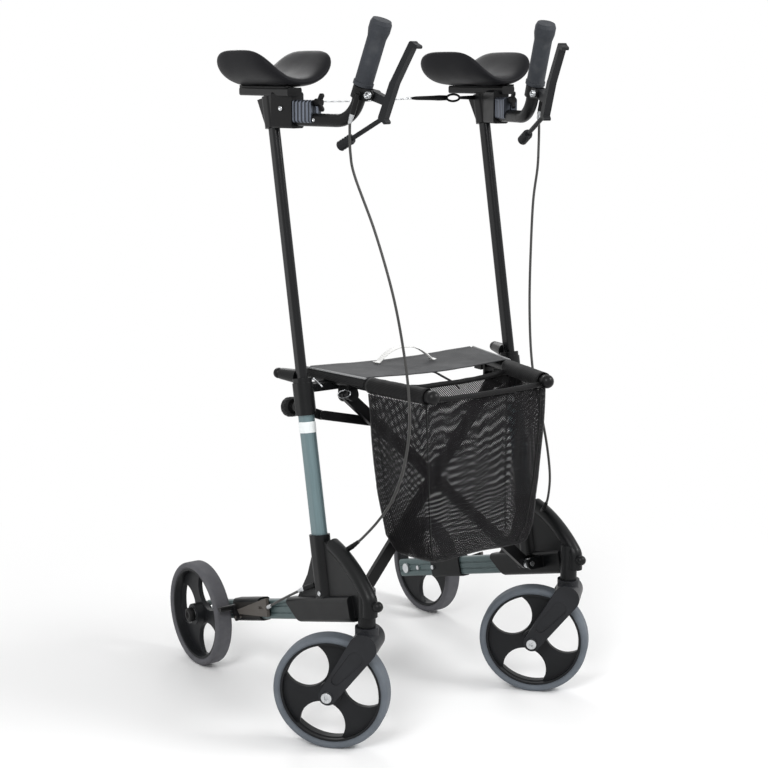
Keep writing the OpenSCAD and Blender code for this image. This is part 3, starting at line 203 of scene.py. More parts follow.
def srgb(red, green, blue):
    """Linear colour of an 8-bit sRGB one."""
    def channel(v):
        v /= 255
        return v / 12.92 if v <= 0.04045 else ((v + 0.055) / 1.055) ** 2.4
    return (channel(red), channel(green), channel(blue), 1)


def shade(colour, factor):
    """A colour made darker or lighter."""
    return tuple(min(1, c * factor) for c in colour[:3]) + (1,)


class Finish:
    """A Principled material whose colour, roughness and relief come from procedural nodes."""

    def __init__(self, name, colour, roughness, edge=None, **shader):
        self.material = bpy.data.materials.new(name)
        self.material.use_nodes = True
        self.nodes, self.links = self.material.node_tree.nodes, self.material.node_tree.links
        self.shader = self.nodes["Principled BSDF"]
        self.colour, self.edge = colour, edge
        self.shader.inputs["Base Color"].default_value = colour
        self.shader.inputs["Roughness"].default_value = roughness
        for socket, value in shader.items():
            self.shader.inputs[socket.replace("_", " ")].default_value = value
        self.normal = None
        if edge:
            self.set_normal(self.bevel().outputs[0])

    def node(self, kind, **values):
        made = self.nodes.new("ShaderNode" + kind)
        for key, value in values.items():
            if hasattr(made, key):
                setattr(made, key, value)
            else:
                made.inputs[key.replace("_", " ")].default_value = value
        return made

    def bevel(self):
        return self.node("Bevel", samples=4, Radius=self.edge)

    def set_normal(self, socket):
        self.normal = socket
        self.links.new(socket, self.shader.inputs["Normal"])

    def where(self, stretch=(1, 1, 1), turn=(0, 0, 0), cloth=False):
        """Object coordinates, or a piece's own cloth coordinates, turned and then stretched."""
        if cloth:
            source = self.node("Attribute", attribute_name="cloth").outputs["Vector"]
        else:
            source = self.node("TexCoord").outputs["Object"]
        mapping = self.node("Mapping", vector_type="TEXTURE", Scale=stretch, Rotation=turn)
        self.links.new(source, mapping.inputs["Vector"])
        return mapping.outputs["Vector"]

    def noise(self, scale, detail=3.0, at=None):
        texture = self.node("TexNoise", Scale=scale, Detail=detail)
        self.links.new(at or self.where(), texture.inputs["Vector"])
        return texture.outputs["Fac"]

    def cells(self, scale, at=None, randomness=1.0, dimensions="3D"):
        texture = self.node("TexVoronoi", voronoi_dimensions=dimensions, Scale=scale,
                            Randomness=randomness)
        self.links.new(at or self.where(), texture.inputs["Vector"])
        return texture.outputs["Distance"]

    def waves(self, scale, direction, at=None, distortion=0.0):
        texture = self.node("TexWave", bands_direction=direction, Scale=scale, Distortion=distortion)
        self.links.new(at or self.where(), texture.inputs["Vector"])
        return texture.outputs["Fac"]

    def math(self, operation, first, second):
        made = self.node("Math", operation=operation)
        for value, socket in ((first, made.inputs[0]), (second, made.inputs[1])):
            if hasattr(value, "links"):
                self.links.new(value, socket)
            else:
                socket.default_value = value
        return made.outputs[0]

    def spread(self, value, low, high, start=0.0, end=1.0):
        """A socket's range from start to end, mapped to low and high."""
        made = self.node("MapRange", From_Min=start, From_Max=end, To_Min=low, To_Max=high)
        self.links.new(value, made.inputs["Value"])
        return made.outputs["Result"]

    def vary(self, value, dark, light, start=0.3, end=0.7):
        """The colour runs between two shades of itself."""
        ramp = self.node("ValToRGB")
        ends = ramp.color_ramp.elements
        ends[0].position, ends[1].position = start, end
        ends[0].color, ends[1].color = shade(self.colour, dark), shade(self.colour, light)
        self.links.new(value, ramp.inputs["Fac"])
        self.links.new(ramp.outputs["Color"], self.shader.inputs["Base Color"])
        return self

    def over(self, mask, colour):
        """Lays another colour over the present one where the mask is 1."""
        mix = self.node("Mix", data_type="RGBA")
        base = self.shader.inputs["Base Color"]
        self.links.new(mask, mix.inputs[0])
        if base.links:
            self.links.new(base.links[0].from_socket, mix.inputs[6])
        else:
            mix.inputs[6].default_value = base.default_value
        mix.inputs[7].default_value = colour
        self.links.new(mix.outputs[2], base)
        return self

    def gloss(self, value, low, high):
        """The roughness runs between two values."""
        self.links.new(self.spread(value, low, high), self.shader.inputs["Roughness"])
        return self

    def bump(self, value, depth, strength=1.0):
        """Adds relief of that depth in metres."""
        made = self.node("Bump", Distance=depth, Strength=strength)
        self.links.new(value, made.inputs["Height"])
        if self.normal:
            self.links.new(self.normal, made.inputs["Normal"])
        self.set_normal(made.outputs["Normal"])
        return self

    def worn(self, colour, amount=0.6):
        """Rubbed edges: where the rounded normal leaves the true one, broken up by noise."""
        dot = self.node("VectorMath", operation="DOT_PRODUCT")
        self.links.new(self.bevel().outputs[0], dot.inputs[0])
        self.links.new(self.node("NewGeometry").outputs["Normal"], dot.inputs[1])
        edge = self.spread(dot.outputs["Value"], amount, 0.0, 0.80, 0.99)
        patchy = self.spread(self.noise(90, 4), 0.0, 1.0, 0.42, 0.62)
        return self.over(self.math("MULTIPLY", edge, patchy), colour)


def moulded(name, colour, roughness=0.46, grain=900, shine=0.16):
    """Spark-eroded nylon or ABS: fine grain, soft sheen, lighter rubbed edges."""
    made = Finish(name, colour, roughness, edge=0.0012, Specular_IOR_Level=shine)
    made.vary(made.noise(14, 4), 0.82, 1.25)
    made.gloss(made.noise(35, 3), roughness - 0.07, roughness + 0.09)
    made.bump(made.noise(grain, 2), 0.00012, 0.35)
    made.bump(made.noise(28, 2), 0.0004, 0.10)
    return made.worn(shade(colour, 3.2), 0.5)


def coated(name, colour, roughness=0.28, **shader):
    """Black powder-coated or anodised metal with a slight orange peel."""
    made = Finish(name, colour, roughness, edge=0.0008, Specular_IOR_Level=0.2, **shader)
    made.vary(made.noise(10, 3), 0.85, 1.2)
    made.gloss(made.noise(60, 3), roughness - 0.06, roughness + 0.08)
    made.bump(made.noise(420, 2), 0.00015, 0.22)
    return made.worn(shade(colour, 4.0), 0.45)


def extruded(name, colour, turn):
    """Satin anodised aluminium with drawing lines along the profile."""
    made = Finish(name, colour, 0.36, edge=0.0008, Metallic=0.35, Specular_IOR_Level=0.4)
    along = made.where(stretch=(1, 1, 60), turn=turn)
    made.vary(made.noise(700, 2, along), 0.90, 1.10, 0.3, 0.7)
    made.gloss(made.noise(500, 2, along), 0.30, 0.44)
    made.bump(made.noise(900, 2, along), 0.0001, 0.16)
    return made.worn(srgb(190, 200, 202), 0.5)


def rubber(name, colour, roughness, grain=600):
    """Tyre or grip rubber: matt, dusty, with a fine moulded grain."""
    made = Finish(name, colour, roughness, edge=0.0010, Specular_IOR_Level=0.25)
    made.vary(made.noise(22, 5), 0.86, 1.12)
    made.over(made.spread(made.noise(60, 5), 0.0, 0.07, 0.50, 0.75), srgb(150, 150, 148))
    made.gloss(made.noise(45, 3), roughness - 0.08, roughness + 0.10)
    return made.bump(made.noise(grain, 3), 0.0002, 0.35)


def bright(name, colour, roughness):
    """Plated or cast metal with fine tool marks."""
    made = Finish(name, colour, roughness, edge=0.0005, Metallic=0.95)
    along = made.where(stretch=(1, 1, 12))
    made.vary(made.noise(500, 3, along), 0.80, 1.08)
    made.gloss(made.noise(300, 3, along), roughness - 0.08, roughness + 0.12)
    return made.bump(made.noise(700, 2, along), 0.00008, 0.25)


TUBE_RISE = math.radians(16.5)


def make_finishes():
    looks = {
        # the lower tubes' finish is the upright's anodised tube made darker: painted shade of the low tubes
        "tube_low_shaded": extruded("tube_low_shaded", srgb(77, 93, 94), (math.radians(90) + TUBE_RISE, 0, 0)),
        "tube_up": extruded("tube_up", srgb(106, 126, 130), (-LEAN, 0, 0)),
        "moulded": moulded("moulded", srgb(13, 14, 15), 0.36, shine=0.20),
        "fork": moulded("fork", srgb(30, 31, 34), 0.40, shine=0.22),
        "rim": moulded("rim", srgb(27, 28, 30), 0.44),
        "knob": moulded("knob", srgb(14, 14, 15), 0.5),
        "post": coated("post", srgb(12, 13, 15), 0.2, Coat_Weight=0.12, Coat_Roughness=0.08),
        "coated": coated("coated", srgb(14, 14, 15), 0.34),
        "lever": coated("lever", srgb(24, 25, 27), 0.40),
        "steel": bright("steel", srgb(196, 198, 200), 0.26),
        "cast": ribbed_look(),
        "grip": rubber("grip", srgb(50, 53, 58), 0.62, 900),
        "dark_tyre": rubber("dark_tyre", srgb(86, 86, 90), 0.72),
        "grey_tyre": rubber("grey_tyre", srgb(96, 102, 109), 0.66),
        "cable": coated("cable", srgb(62, 62, 61), 0.36),
        "band": coated("band", srgb(232, 238, 238), 0.4),
        "housing": housing_look(),
        "pad": pad_look(),
        "seat": seat_look(),
        "piping": webbing_look("piping", srgb(150, 151, 152), 0.0012),
        "binding": webbing_look("binding", srgb(20, 20, 21), 0.0016, 0.06),
        "strap": webbing_look("strap", srgb(246, 246, 244), 0.0020),
        "hem": webbing_look("hem", srgb(14, 14, 15), 0.0018, 0.04),
        "basket": basket_look(),
        "wire": wire_look(),
    }
    return {name: finish.material for name, finish in looks.items()}


CLAMP_RIB = 0.0072


def per_wave(pitch):
    """Scale of a wave texture that repeats at a pitch in metres."""
    return math.pi / 10 / pitch


def ribbed_look():
    """Die-cast clamp with upright ribs, with painted shade in the grooves between them."""
    made = bright("cast", srgb(122, 128, 140), 0.38)
    along = made.where(turn=(0, 0, -HANDLE_TOE))
    ribs = made.waves(per_wave(CLAMP_RIB), "Y", along)
    # painted shade: dark bands in the grooves between the ribs, where their shadow falls
    made.over(made.spread(ribs, 0.85, 0.0, 0.25, 0.6), srgb(40, 42, 45))
    return made.bump(ribs, 0.0012, 0.8)


WEDGE_X, WEDGE_SOFT = UPRIGHT_X + 0.0168, 0.0004


def housing_look():
    """Black sleeve on the lower tube; the wedge plate outside it is a worn brown-grey."""
    made = moulded("housing", srgb(21, 22, 23))
    across = made.node("SeparateXYZ")
    made.links.new(made.where(), across.inputs[0])
    out = made.math("ABSOLUTE", made.math("SUBTRACT", across.outputs["X"], MID_X), 0.0)
    return made.over(made.spread(out, 0.0, 1.0, WEDGE_X - WEDGE_SOFT, WEDGE_X), srgb(84, 80, 76))


def pad_look():
    """Integral-skin foam: black, semi-gloss, with a fine leather-like grain."""
    made = Finish("pad", srgb(31, 31, 33), 0.4, Specular_IOR_Level=0.04)
    made.vary(made.noise(9, 4), 0.85, 1.2)
    made.gloss(made.noise(40, 4), 0.36, 0.48)
    made.bump(made.cells(620), 0.00018, 0.30)
    return made.bump(made.noise(24, 3), 0.0006, 0.10)


SEAT_WEAVE = 0.0042


def seat_look():
    """Coated polyester weave: light and dark yarns crossing, with faint paler patches."""
    made = Finish("seat", srgb(61, 62, 64), 0.62, Specular_IOR_Level=0.1, Sheen_Weight=0.05)
    across = made.waves(per_wave(SEAT_WEAVE), "X")
    along = made.waves(per_wave(SEAT_WEAVE), "Y")
    checks = made.math("MULTIPLY", across, along)
    made.vary(checks, 0.62, 1.30, 0.05, 0.75)
    made.over(made.spread(made.noise(18, 4), 0.0, 0.25, 0.5, 0.8), srgb(120, 121, 122))
    made.gloss(made.noise(30, 3), 0.52, 0.72)
    return made.bump(made.math("MAXIMUM", across, along), 0.0004, 0.6)


def webbing_look(name, colour, rib, sheen=0.2):
    """Woven tape with diagonal ribs, each about as wide as rib."""
    made = Finish(name, colour, 0.7, Specular_IOR_Level=0.2, Sheen_Weight=sheen)
    ribs = made.waves(per_wave(2 * rib), "DIAGONAL", distortion=0.4)
    made.vary(ribs, 0.80, 1.08)
    made.gloss(made.noise(40, 3), 0.6, 0.8)
    made.bump(ribs, 0.0003, 0.5)
    return made.bump(made.noise(120, 3), 0.0005, 0.2)


MESH_PITCH = 0.0030
MESH_HOLE, MESH_HAZE, MESH_SOFT = 0.34, 0.10, 0.06


def basket_look():
    """Black open mesh: staggered holes in the cloth's own coordinates."""
    made = Finish("basket", srgb(15, 14, 16), 0.6, Specular_IOR_Level=0.14, Sheen_Weight=0.05)
    cloth = made.where(cloth=True, turn=(0, 0, math.radians(45)))
    hole = made.cells(1 / MESH_PITCH, cloth, 0.0, "2D")
    made.vary(made.noise(30, 4), 0.75, 1.35)
    thread = made.spread(hole, MESH_HAZE, 1.0, MESH_HOLE - MESH_SOFT, MESH_HOLE + MESH_SOFT)
    made.links.new(thread, made.shader.inputs["Alpha"])
    made.gloss(made.noise(60, 2), 0.45, 0.65)
    return made.bump(hole, 0.0005, 0.5)


STRAND = 0.004


def wire_look():
    """Stranded steel wire: slanting bands, each about as wide as STRAND."""
    made = Finish("wire", srgb(176, 178, 180), 0.32, Metallic=0.9)
    strands = made.waves(per_wave(2 * STRAND), "DIAGONAL")
    made.vary(strands, 0.55, 1.1)
    made.gloss(made.noise(300, 2), 0.25, 0.42)
    return made.bump(strands, 0.0004, 0.7)


# Mesh making


def piece(name, verts, faces, material, body=None, slot=None):
    """A smooth mesh piece that rides on a body."""
    mesh = bpy.data.meshes.new(name)
    mesh.from_pydata([tuple(v) for v in verts], [], faces)
    mesh.validate()
    mesh.shade_smooth()
    mesh.materials.append(LOOKS[material])
    obj = bpy.data.objects.new(name, mesh)
    bpy.context.scene.collection.objects.link(obj)
    if body:
        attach(obj, body)
    return obj


def applied(obj, kind, **settings):
    """Applies a modifier at once, so that the mesh is final."""
    modifier = obj.modifiers.new(kind.lower(), kind)
    for key, value in settings.items():
        setattr(modifier, key, value)
    graph = bpy.context.evaluated_depsgraph_get()
    final = obj.evaluated_get(graph)
    mesh = bpy.data.meshes.new_from_object(final, preserve_all_data_layers=True, depsgraph=graph)
    obj.modifiers.clear()
    obj.data = mesh
    mesh.shade_smooth()
    return obj


def steps(count):
    """Shares from 0 to 1 in equal steps."""
    return [k / count for k in range(count + 1)]


def turns(count):
    """Angles once round a circle in equal steps."""
    return [2 * math.pi * k / count for k in range(count)]


def route(points, parts):
    """Catmull-Rom curve through the points, as in the CAD source."""
    p = [2 * points[0] - points[1]] + list(points) + [2 * points[-1] - points[-2]]
    out = []
    for a, b, c, d in zip(p, p[1:], p[2:], p[3:]):
        for t in steps(parts)[:-1]:
            out.append(0.5 * (2 * b + (c - a) * t + (2 * a - 5 * b + 4 * c - d) * t ** 2
                              + (3 * b - a - 3 * c + d) * t ** 3))
    return out + [points[-1]]


def length_of(points):
    return sum((b - a).length for a, b in zip(points, points[1:]))


def loft(rings, closed_ring=True, caps=True):
    """Faces between rings of equal length, with end caps."""
    n = len(rings[0])
    verts = [v for ring in rings for v in ring]
    span = n if closed_ring else n - 1
    faces = [(k * n + i, k * n + (i + 1) % n, (k + 1) * n + (i + 1) % n, (k + 1) * n + i)
             for k in range(len(rings) - 1) for i in range(span)]
    if caps and closed_ring:
        faces.append(tuple(reversed(range(n))))
        faces.append(tuple(range((len(rings) - 1) * n, len(rings) * n)))
    return verts, faces


def sweep(points, radii, sides=12):
    """A tube along points; radii is one number or one for each point."""
    if not hasattr(radii, "__len__"):
        radii = [radii] * len(points)
    normal = None
    rings = []
    for i, point in enumerate(points):
        ahead = points[min(i + 1, len(points) - 1)] - points[max(i - 1, 0)]
        ahead.normalize()
        if normal is None:
            normal = ahead.orthogonal().normalized()
        normal = (normal - ahead * normal.dot(ahead)).normalized()
        other = ahead.cross(normal)
        rings.append([point + radii[i] * (math.cos(a) * normal + math.sin(a) * other)
                      for a in turns(sides)])
    return loft(rings)


def lathe(profile, at, axis, sides=32):
    """A turned piece: profile is (radius, distance along the axis)."""
    axis = Vector(axis).normalized()
    first = axis.orthogonal().normalized()
    second = axis.cross(first)
    rings = [[at + axis * along + radius * (math.cos(a) * first + math.sin(a) * second)
              for a in turns(sides)] for radius, along in profile]
    return loft(rings)


RIBBON_SECTION = ((-1, 0), (-0.9, -1), (0, -1), (0.9, -1), (1, 0), (0.9, 1), (0, 1), (-0.9, 1))


def ribbon(points, across, half_width, half_thick):
    """A flat tape along points, with rounded edges."""
    rings = []
    for i, point in enumerate(points):
        ahead = (points[min(i + 1, len(points) - 1)] - points[max(i - 1, 0)]).normalized()
        wide = (across - ahead * across.dot(ahead)).normalized()
        up = ahead.cross(wide)
        rings.append([point + wide * half_width * u + up * half_thick * v for u, v in RIBBON_SECTION])
    return loft(rings)


# Forearm pads

PAD_POWER = 0.45
PAD_AROUND = 96
PAD_UNDER = 0.5
PAD_PROFILE = (
    # share of the outline, share of the rise
    (0.10, 1.0), (0.30, 1.0), (0.48, 1.0), (0.64, 0.99), (0.78, 0.965), (0.88, 0.90), (0.945, 0.79),
    (0.985, 0.64), (1.0, 0.49), (0.985, 0.34), (0.94, 0.20), (0.86, 0.09), (0.72, 0.02), (0.52, 0.0),
    (0.28, 0.0),
)
PAD_THICK = 0.016
PAD_TOP_SHARE, PAD_CREST, PAD_END_DROP = 0.78, 0.965, 0.06
PAD_PROUD = 0.004
PAD_RAIL_HALF, PAD_RAIL_ROUND = 0.014, 0.0035
BED_HALF, BED_INSET, BED_STEPS, BED_SLACK = 0.0135, 0.0008, 14, 0.0001


def forearm_pad(side):
    """A moulded trough with rolled edges: a closed form whose wings lift along its sides."""
    low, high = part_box(side + "_forearm_pad")
    low -= Vector((PAD_PROUD, PAD_PROUD, 0))
    high += Vector((PAD_PROUD, PAD_PROUD, PAD_PROUD))
    centre, half = (low + high) / 2, (high - low) / 2
    wing = (high.z - low.z - PAD_THICK * PAD_TOP_SHARE) / (
        PAD_CREST ** 2 * (PAD_UNDER + (1 - PAD_UNDER) * PAD_TOP_SHARE))
    rings = []
    for share, rise in PAD_PROFILE:
        ring = []
        for a in turns(PAD_AROUND):
            c, s = math.cos(a), math.sin(a)
            u = math.copysign(abs(c) ** PAD_POWER, c) * share
            v = math.copysign(abs(s) ** PAD_POWER, s) * share
            lift = wing * u * u * (1 - PAD_END_DROP * v * v)
            z = low.z + lift * (PAD_UNDER + (1 - PAD_UNDER) * rise) + PAD_THICK * rise
            ring.append(Vector((centre.x + u * half.x, centre.y + v * half.y, z)))
        rings.append(ring)
    verts, faces = loft(rings)
    faces = [tuple(reversed(f)) for f in faces]
    pad = piece(side + "_pad_cushion", verts, faces, "pad", side + "_mast", "pad")
    applied(pad, "SUBSURF", levels=1)
    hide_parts(side + "_forearm_pad")
    pad_bed(side, lambda x: low.z + PAD_UNDER * wing * ((x - centre.x) / half.x) ** 2)


def pad_bed(side, belly):
    """Rubber bed that seats the pad on its round-edged rail; belly is the pad's height over x."""
    low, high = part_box(side + "_post_head")
    top, under = [], []
    for share in steps(BED_STEPS):
        offset = BED_HALF * (2 * share - 1)
        x = place(side, UPRIGHT_X, 0, 0).x + offset
        past = max(0, abs(offset) - PAD_RAIL_HALF + PAD_RAIL_ROUND)
        drop = PAD_RAIL_ROUND - math.sqrt(PAD_RAIL_ROUND ** 2 - past ** 2)
        top.append((x, belly(x) + BED_SLACK))
        under.append((x, high.z - drop + BED_SLACK))
    section = top + under[::-1]
    rear, long = low.y + BED_INSET, high.y - low.y - 2 * BED_INSET
    rings = [[Vector((x, rear + long * share, z)) for x, z in section] for share in steps(BED_STEPS)]
    piece(side + "_pad_bed", *loft(rings), "knob", side + "_mast", "black_plastic")


# Seat

SEAT_REAR, SEAT_FRONT = RAIL_Y + 0.009, RAIL_Y + 0.155
SEAT_SAG, SEAT_THICK = 0.005, 0.0016
SEAT_ROWS, SEAT_COLUMNS, SEAT_WRAP = 24, 44, 6
SEAT_R = RAIL_R + 0.0014
SEAT_HEM, SEAT_HEM_FADE, SEAT_RIPPLE = 0.0012, 30, 0.0006
SEAT_EDGE_TURN, BINDING_TURN = math.radians(32), math.radians(102)
BINDING_STEPS, BINDING_THICK, BINDING_WOBBLE = 10, 0.0012, 0.0004
PIPING_STEPS, PIPING_OUT, PIPING_R = 30, 0.0016, 0.0017


def rail_surface(side, y, turn, radius):
    """A point on a seat rail's skin: turn 0 on top, growing outward."""
    return place(side, rail_at(y) + radius * math.sin(turn), -y, RAIL_Z + radius * math.cos(turn))


def seat():
    """Woven seat stretched between the rails, with its edges."""
    wrap = [SEAT_EDGE_TURN * share for share in steps(SEAT_WRAP)[1:]]
    rows = []
    for v in steps(SEAT_ROWS):
        y = SEAT_REAR + v * (SEAT_FRONT - SEAT_REAR)
        hem = SEAT_HEM * (math.exp(-v * SEAT_HEM_FADE) + math.exp(-(1 - v) * SEAT_HEM_FADE))
        row = [rail_surface("right", y, turn, SEAT_R) for turn in reversed(wrap)]
        for share in steps(SEAT_COLUMNS):
            u = 2 * share - 1
            sag = SEAT_SAG * (1 - u * u) ** 1.5
            ripple = SEAT_RIPPLE * noise.noise(Vector((u * 5, v * 2, 0)))
            z = RAIL_Z + SEAT_R - sag + ripple + hem
            row.append(Vector((MID_X + u * rail_at(y), MID_Y - y, z)))
        rows.append(row + [rail_surface("left", y, turn, SEAT_R) for turn in wrap])
    verts, faces = loft(rows, closed_ring=False)
    cloth = piece("seat_cloth", verts, faces, "seat", "right_rail", "seat_cloth")
    applied(cloth, "SOLIDIFY", thickness=SEAT_THICK, offset=1.0)
    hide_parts("seat_fabric")
    edges = seat_edge("right") + seat_edge("left")
    return [cloth]


def seat_edge(side):
    """Piping along the seat's edge, and the binding that runs on round the rail."""
    ys = [SEAT_REAR + share * (SEAT_FRONT - SEAT_REAR) for share in steps(PIPING_STEPS)]
    line = [rail_surface(side, y, SEAT_EDGE_TURN, SEAT_R + PIPING_OUT) for y in ys]
    piping = piece(side + "_seat_piping", *sweep(line, PIPING_R, 10), "piping", side + "_rail", "seat_cloth")
    strip = []
    for y in ys:
        row = []
        for share in steps(BINDING_STEPS):
            turn = SEAT_EDGE_TURN + share * (BINDING_TURN - SEAT_EDGE_TURN)
            wobble = BINDING_WOBBLE * noise.noise(Vector((y * 90, turn * 2, 3)))
            row.append(rail_surface(side, y, turn, SEAT_R + wobble))
        strip.append(row)
    verts, faces = loft(strip, closed_ring=False)
    binding = piece(side + "_seat_binding", verts, faces, "binding", side + "_rail", "seat_cloth")
    applied(binding, "SOLIDIFY", thickness=BINDING_THICK, offset=SIDES[side])
    return [piping, binding]


STRAP_RISE, STRAP_POWER, STRAP_HALF, STRAP_SKEW = 0.026, 2.3, 0.048, 0.0147
STRAP_X, STRAP_Y, STRAP_CLEAR = -0.002, RAIL_Y + 0.050, 0.0018
STRAP_WIDE, STRAP_THICK = 0.007, 0.0009
STRAP_TAB, STRAP_TAB_RISE = 0.007, 0.0008


def seat_strap():
    """White pull strap: an arch of tape sewn to the seat at both ends."""
    foot = RAIL_Z + SEAT_R + SEAT_THICK - SEAT_SAG + STRAP_CLEAR
    line = []
    for share in steps(40):
        t = 2 * share - 1
        rise = STRAP_RISE * (1 - abs(t) ** STRAP_POWER)
        x, y = STRAP_X + STRAP_HALF * t, -STRAP_Y - STRAP_SKEW * t
        line.append(Vector((MID_X + x, MID_Y + y, foot + rise)))
    tab = steps(4)[1:]
    before = [line[0] + Vector((-STRAP_TAB * s, 0, STRAP_TAB_RISE * s)) for s in reversed(tab)]
    after = [line[-1] + Vector((STRAP_TAB * s, 0, STRAP_TAB_RISE * s)) for s in tab]
    verts, faces = ribbon(before + line + after, Vector((0, 1, 0)), STRAP_WIDE, STRAP_THICK)
    strap = piece("seat_pull_strap", verts, faces, "strap", "right_rail", "white_webbing")
    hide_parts("seat_strap")
    return [strap]


ELASTIC = (
    (-0.012, -0.172, 0.6120), (-0.008, -0.178, 0.6105), (0.006, -0.182, 0.6020),
    (0.020, -0.187, 0.5930), (0.030, -0.194, 0.5820),
)
ELASTIC_WIDE, ELASTIC_THICK, ELASTIC_ACROSS = 0.0030, 0.0007, (0.9, 0.4, 0)


def elastic():
    """Elastic strap from the middle of the seat's front edge into the basket."""
    line = route([Vector((MID_X + x, MID_Y + y, z)) for x, y, z in ELASTIC], 6)
    verts, faces = ribbon(line, Vector(ELASTIC_ACROSS), ELASTIC_WIDE, ELASTIC_THICK)
    return [piece("seat_elastic", verts, faces, "binding", "right_rail", "seat_cloth")]


# Basket

BASKET_REAR, BASKET_FRONT = RAIL_Y + 0.161, RAIL_Y + 0.286
BASKET_TOP = RAIL_Z - RAIL_R - 0.002
BASKET_DEEP, FLOOR_STEP, FLOOR_SINK = 0.276, 0.004, 0.012
FLOOR_SHARES = (0.92, 0.78, 0.55, 0.28, 0.06)
BASKET_LEVELS, BASKET_AROUND = 40, 144
BASKET_CORNER, CORNER_ROOM, CORNER_STEPS = 0.008, 2.2, 12
BASKET_IN = ((0.0, 0.0), (0.25, 0.01), (0.6, 0.04), (0.9, 0.09), (1.0, 0.15))
BASKET_TOE_REAR, BASKET_TOE_FRONT = 2.0, 0.4
BASKET_CLOTH, BASKET_SEWN = 0.0008, 1.02
BASKET_FOLD, BASKET_PUCKER, BASKET_DIP = 0.004, 0.0035, 0.003


def curve(table, x):
    """Straight-line reading of a table of pairs."""
    for (a, p), (b, q) in zip(table, table[1:]):
        if x <= b:
            return p + (q - p) * (x - a) / (b - a)
    return table[-1][1]


def evenly(outline, count):
    """Points at equal distances along a closed outline."""
    total = length_of(outline)
    out, walked, i = [], 0.0, 0
    for share in steps(count)[:-1]:
        goal = total * share
        while walked + (outline[i + 1] - outline[i]).length < goal:
            walked += (outline[i + 1] - outline[i]).length
            i += 1
        step = outline[i + 1] - outline[i]
        out.append(outline[i] + step * ((goal - walked) / max(step.length, 1e-9)))
    return out


def basket_outline(share):
    """One level of the bag, share of the way down: a trapezoid with round corners."""
    into = curve(BASKET_IN, share)
    deep = BASKET_FRONT - BASKET_REAR
    rear = BASKET_REAR + into * deep * BASKET_TOE_REAR
    front = BASKET_FRONT - into * deep * BASKET_TOE_FRONT
    outer = RAIL_R * (1 - share) ** 0.5
    wide_rear = (rail_at(BASKET_REAR) + outer) * (1 - into)
    wide_front = (rail_at(BASKET_FRONT) + outer) * (1 - into)
    corner = min(BASKET_CORNER, (front - rear) / CORNER_ROOM)
    outline = []
    for x, y, sx, sy, start in ((wide_rear, -rear, 1, -1, 0), (-wide_rear, -rear, -1, -1, 90),
                                (-wide_front, -front, -1, 1, 180), (wide_front, -front, 1, 1, 270)):
        for quarter in steps(CORNER_STEPS):
            a = math.radians(start + 90 * quarter)
            outline.append(Vector((x + corner * (math.cos(a) - sx), y + corner * (math.sin(a) + sy), 0)))
    return outline + outline[:1]


def ring_noise(turn, waves, down):
    """Smooth noise that closes on itself round the bag."""
    return noise.noise(Vector((math.cos(turn) * waves, math.sin(turn) * waves, down)))


def basket():
    """A lofted bag of mesh that sags and puckers under its hems."""
    middle_y = -(BASKET_REAR + BASKET_FRONT) / 2 - 0.01
    rings, cloth_at = [], []
    for share in steps(BASKET_LEVELS):
        outline = basket_outline(share)
        z = BASKET_TOP - share * (BASKET_DEEP - FLOOR_STEP)
        loose = math.sin(math.pi * share) ** 0.7
        ring = []
        for p, turn in zip(evenly(outline, BASKET_AROUND), turns(BASKET_AROUND)):
            outward = Vector((p.x, (p.y - middle_y) * 1.8, 0)).normalized()
            fold = BASKET_FOLD * ring_noise(turn, 3.2, share * 1.3)
            pucker = BASKET_PUCKER * ring_noise(turn, 11, share * 2.2 + 7) * (1 - share)
            p = p + outward * (fold + pucker) * loose
            ring.append(Vector((MID_X + p.x, MID_Y + p.y, z - BASKET_DIP * share * math.cos(2 * turn))))
        rings.append(ring)
        cloth_at += [(length_of(outline) * around, z, 0) for around in steps(BASKET_AROUND)[:-1]]
    walls, rim = rings[:], rings[-1]
    centre = sum(rim, Vector()) / len(rim)
    for share in FLOOR_SHARES:
        sink = FLOOR_SINK * (1 - share ** 2) + FLOOR_STEP
        rings.append([centre + (p - centre) * share - Vector((0, 0, sink)) for p in rim])
        cloth_at += [(p.x, p.y, 0) for p in rings[-1]]
    verts, faces = loft(rings, caps=False)
    faces.append(tuple(range((len(rings) - 1) * BASKET_AROUND, len(rings) * BASKET_AROUND)))
    bag = piece("basket_bag", verts, faces, "basket", "right_rail", "basket_cloth")
    attribute = bag.data.attributes.new("cloth", "FLOAT_VECTOR", "POINT")
    attribute.data.foreach_set("vector", [x for p in cloth_at for x in p])
    applied(bag, "SOLIDIFY", thickness=BASKET_CLOTH, offset=0.0)
    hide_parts("basket")
    trims = basket_hems() + basket_seams(walls)
    sleeves = [basket_sleeve(side) for side in SIDES]
    return [bag] + trims


HEM_R, HEM_LOW, HEM_WOBBLE = 0.0046, 0.006, 0.001
HEMS = {
    # distance in front of the middle, sag
    "front": (BASKET_FRONT + 0.004, 0.003),
    "rear": (BASKET_REAR + 0.003, 0.008),
}


def basket_hems():
    """Corded hems from rail to rail along the bag's front and rear edges."""
    made = []
    for name, (y, sag) in HEMS.items():
        line, radii = [], []
        for k, share in enumerate(steps(40)):
            t = 2 * share - 1
            wobble = HEM_WOBBLE * noise.noise(Vector((t * 4, y * 9, 0)))
            z = RAIL_Z - HEM_LOW - sag * (1 - t * t) + wobble
            line.append(Vector((MID_X + rail_at(y) * t, MID_Y - y, z)))
            radii.append(HEM_R * (1 + 0.10 * noise.noise(Vector((k * 0.5, y * 40, 1)))))
        hem = sweep(line, radii, 14)
        made.append(piece("basket_hem_" + name, *hem, "hem", "right_rail", "basket_cloth"))
    return made


SEAM_R, SEAM_IN = 0.0016, 0.004
SEAMS = {
    # side of the middle, distance in front of it
    "near": (-1, BASKET_FRONT), "far": (1, BASKET_FRONT),
    "near_rear": (-1, BASKET_REAR), "far_rear": (1, BASKET_REAR),
}


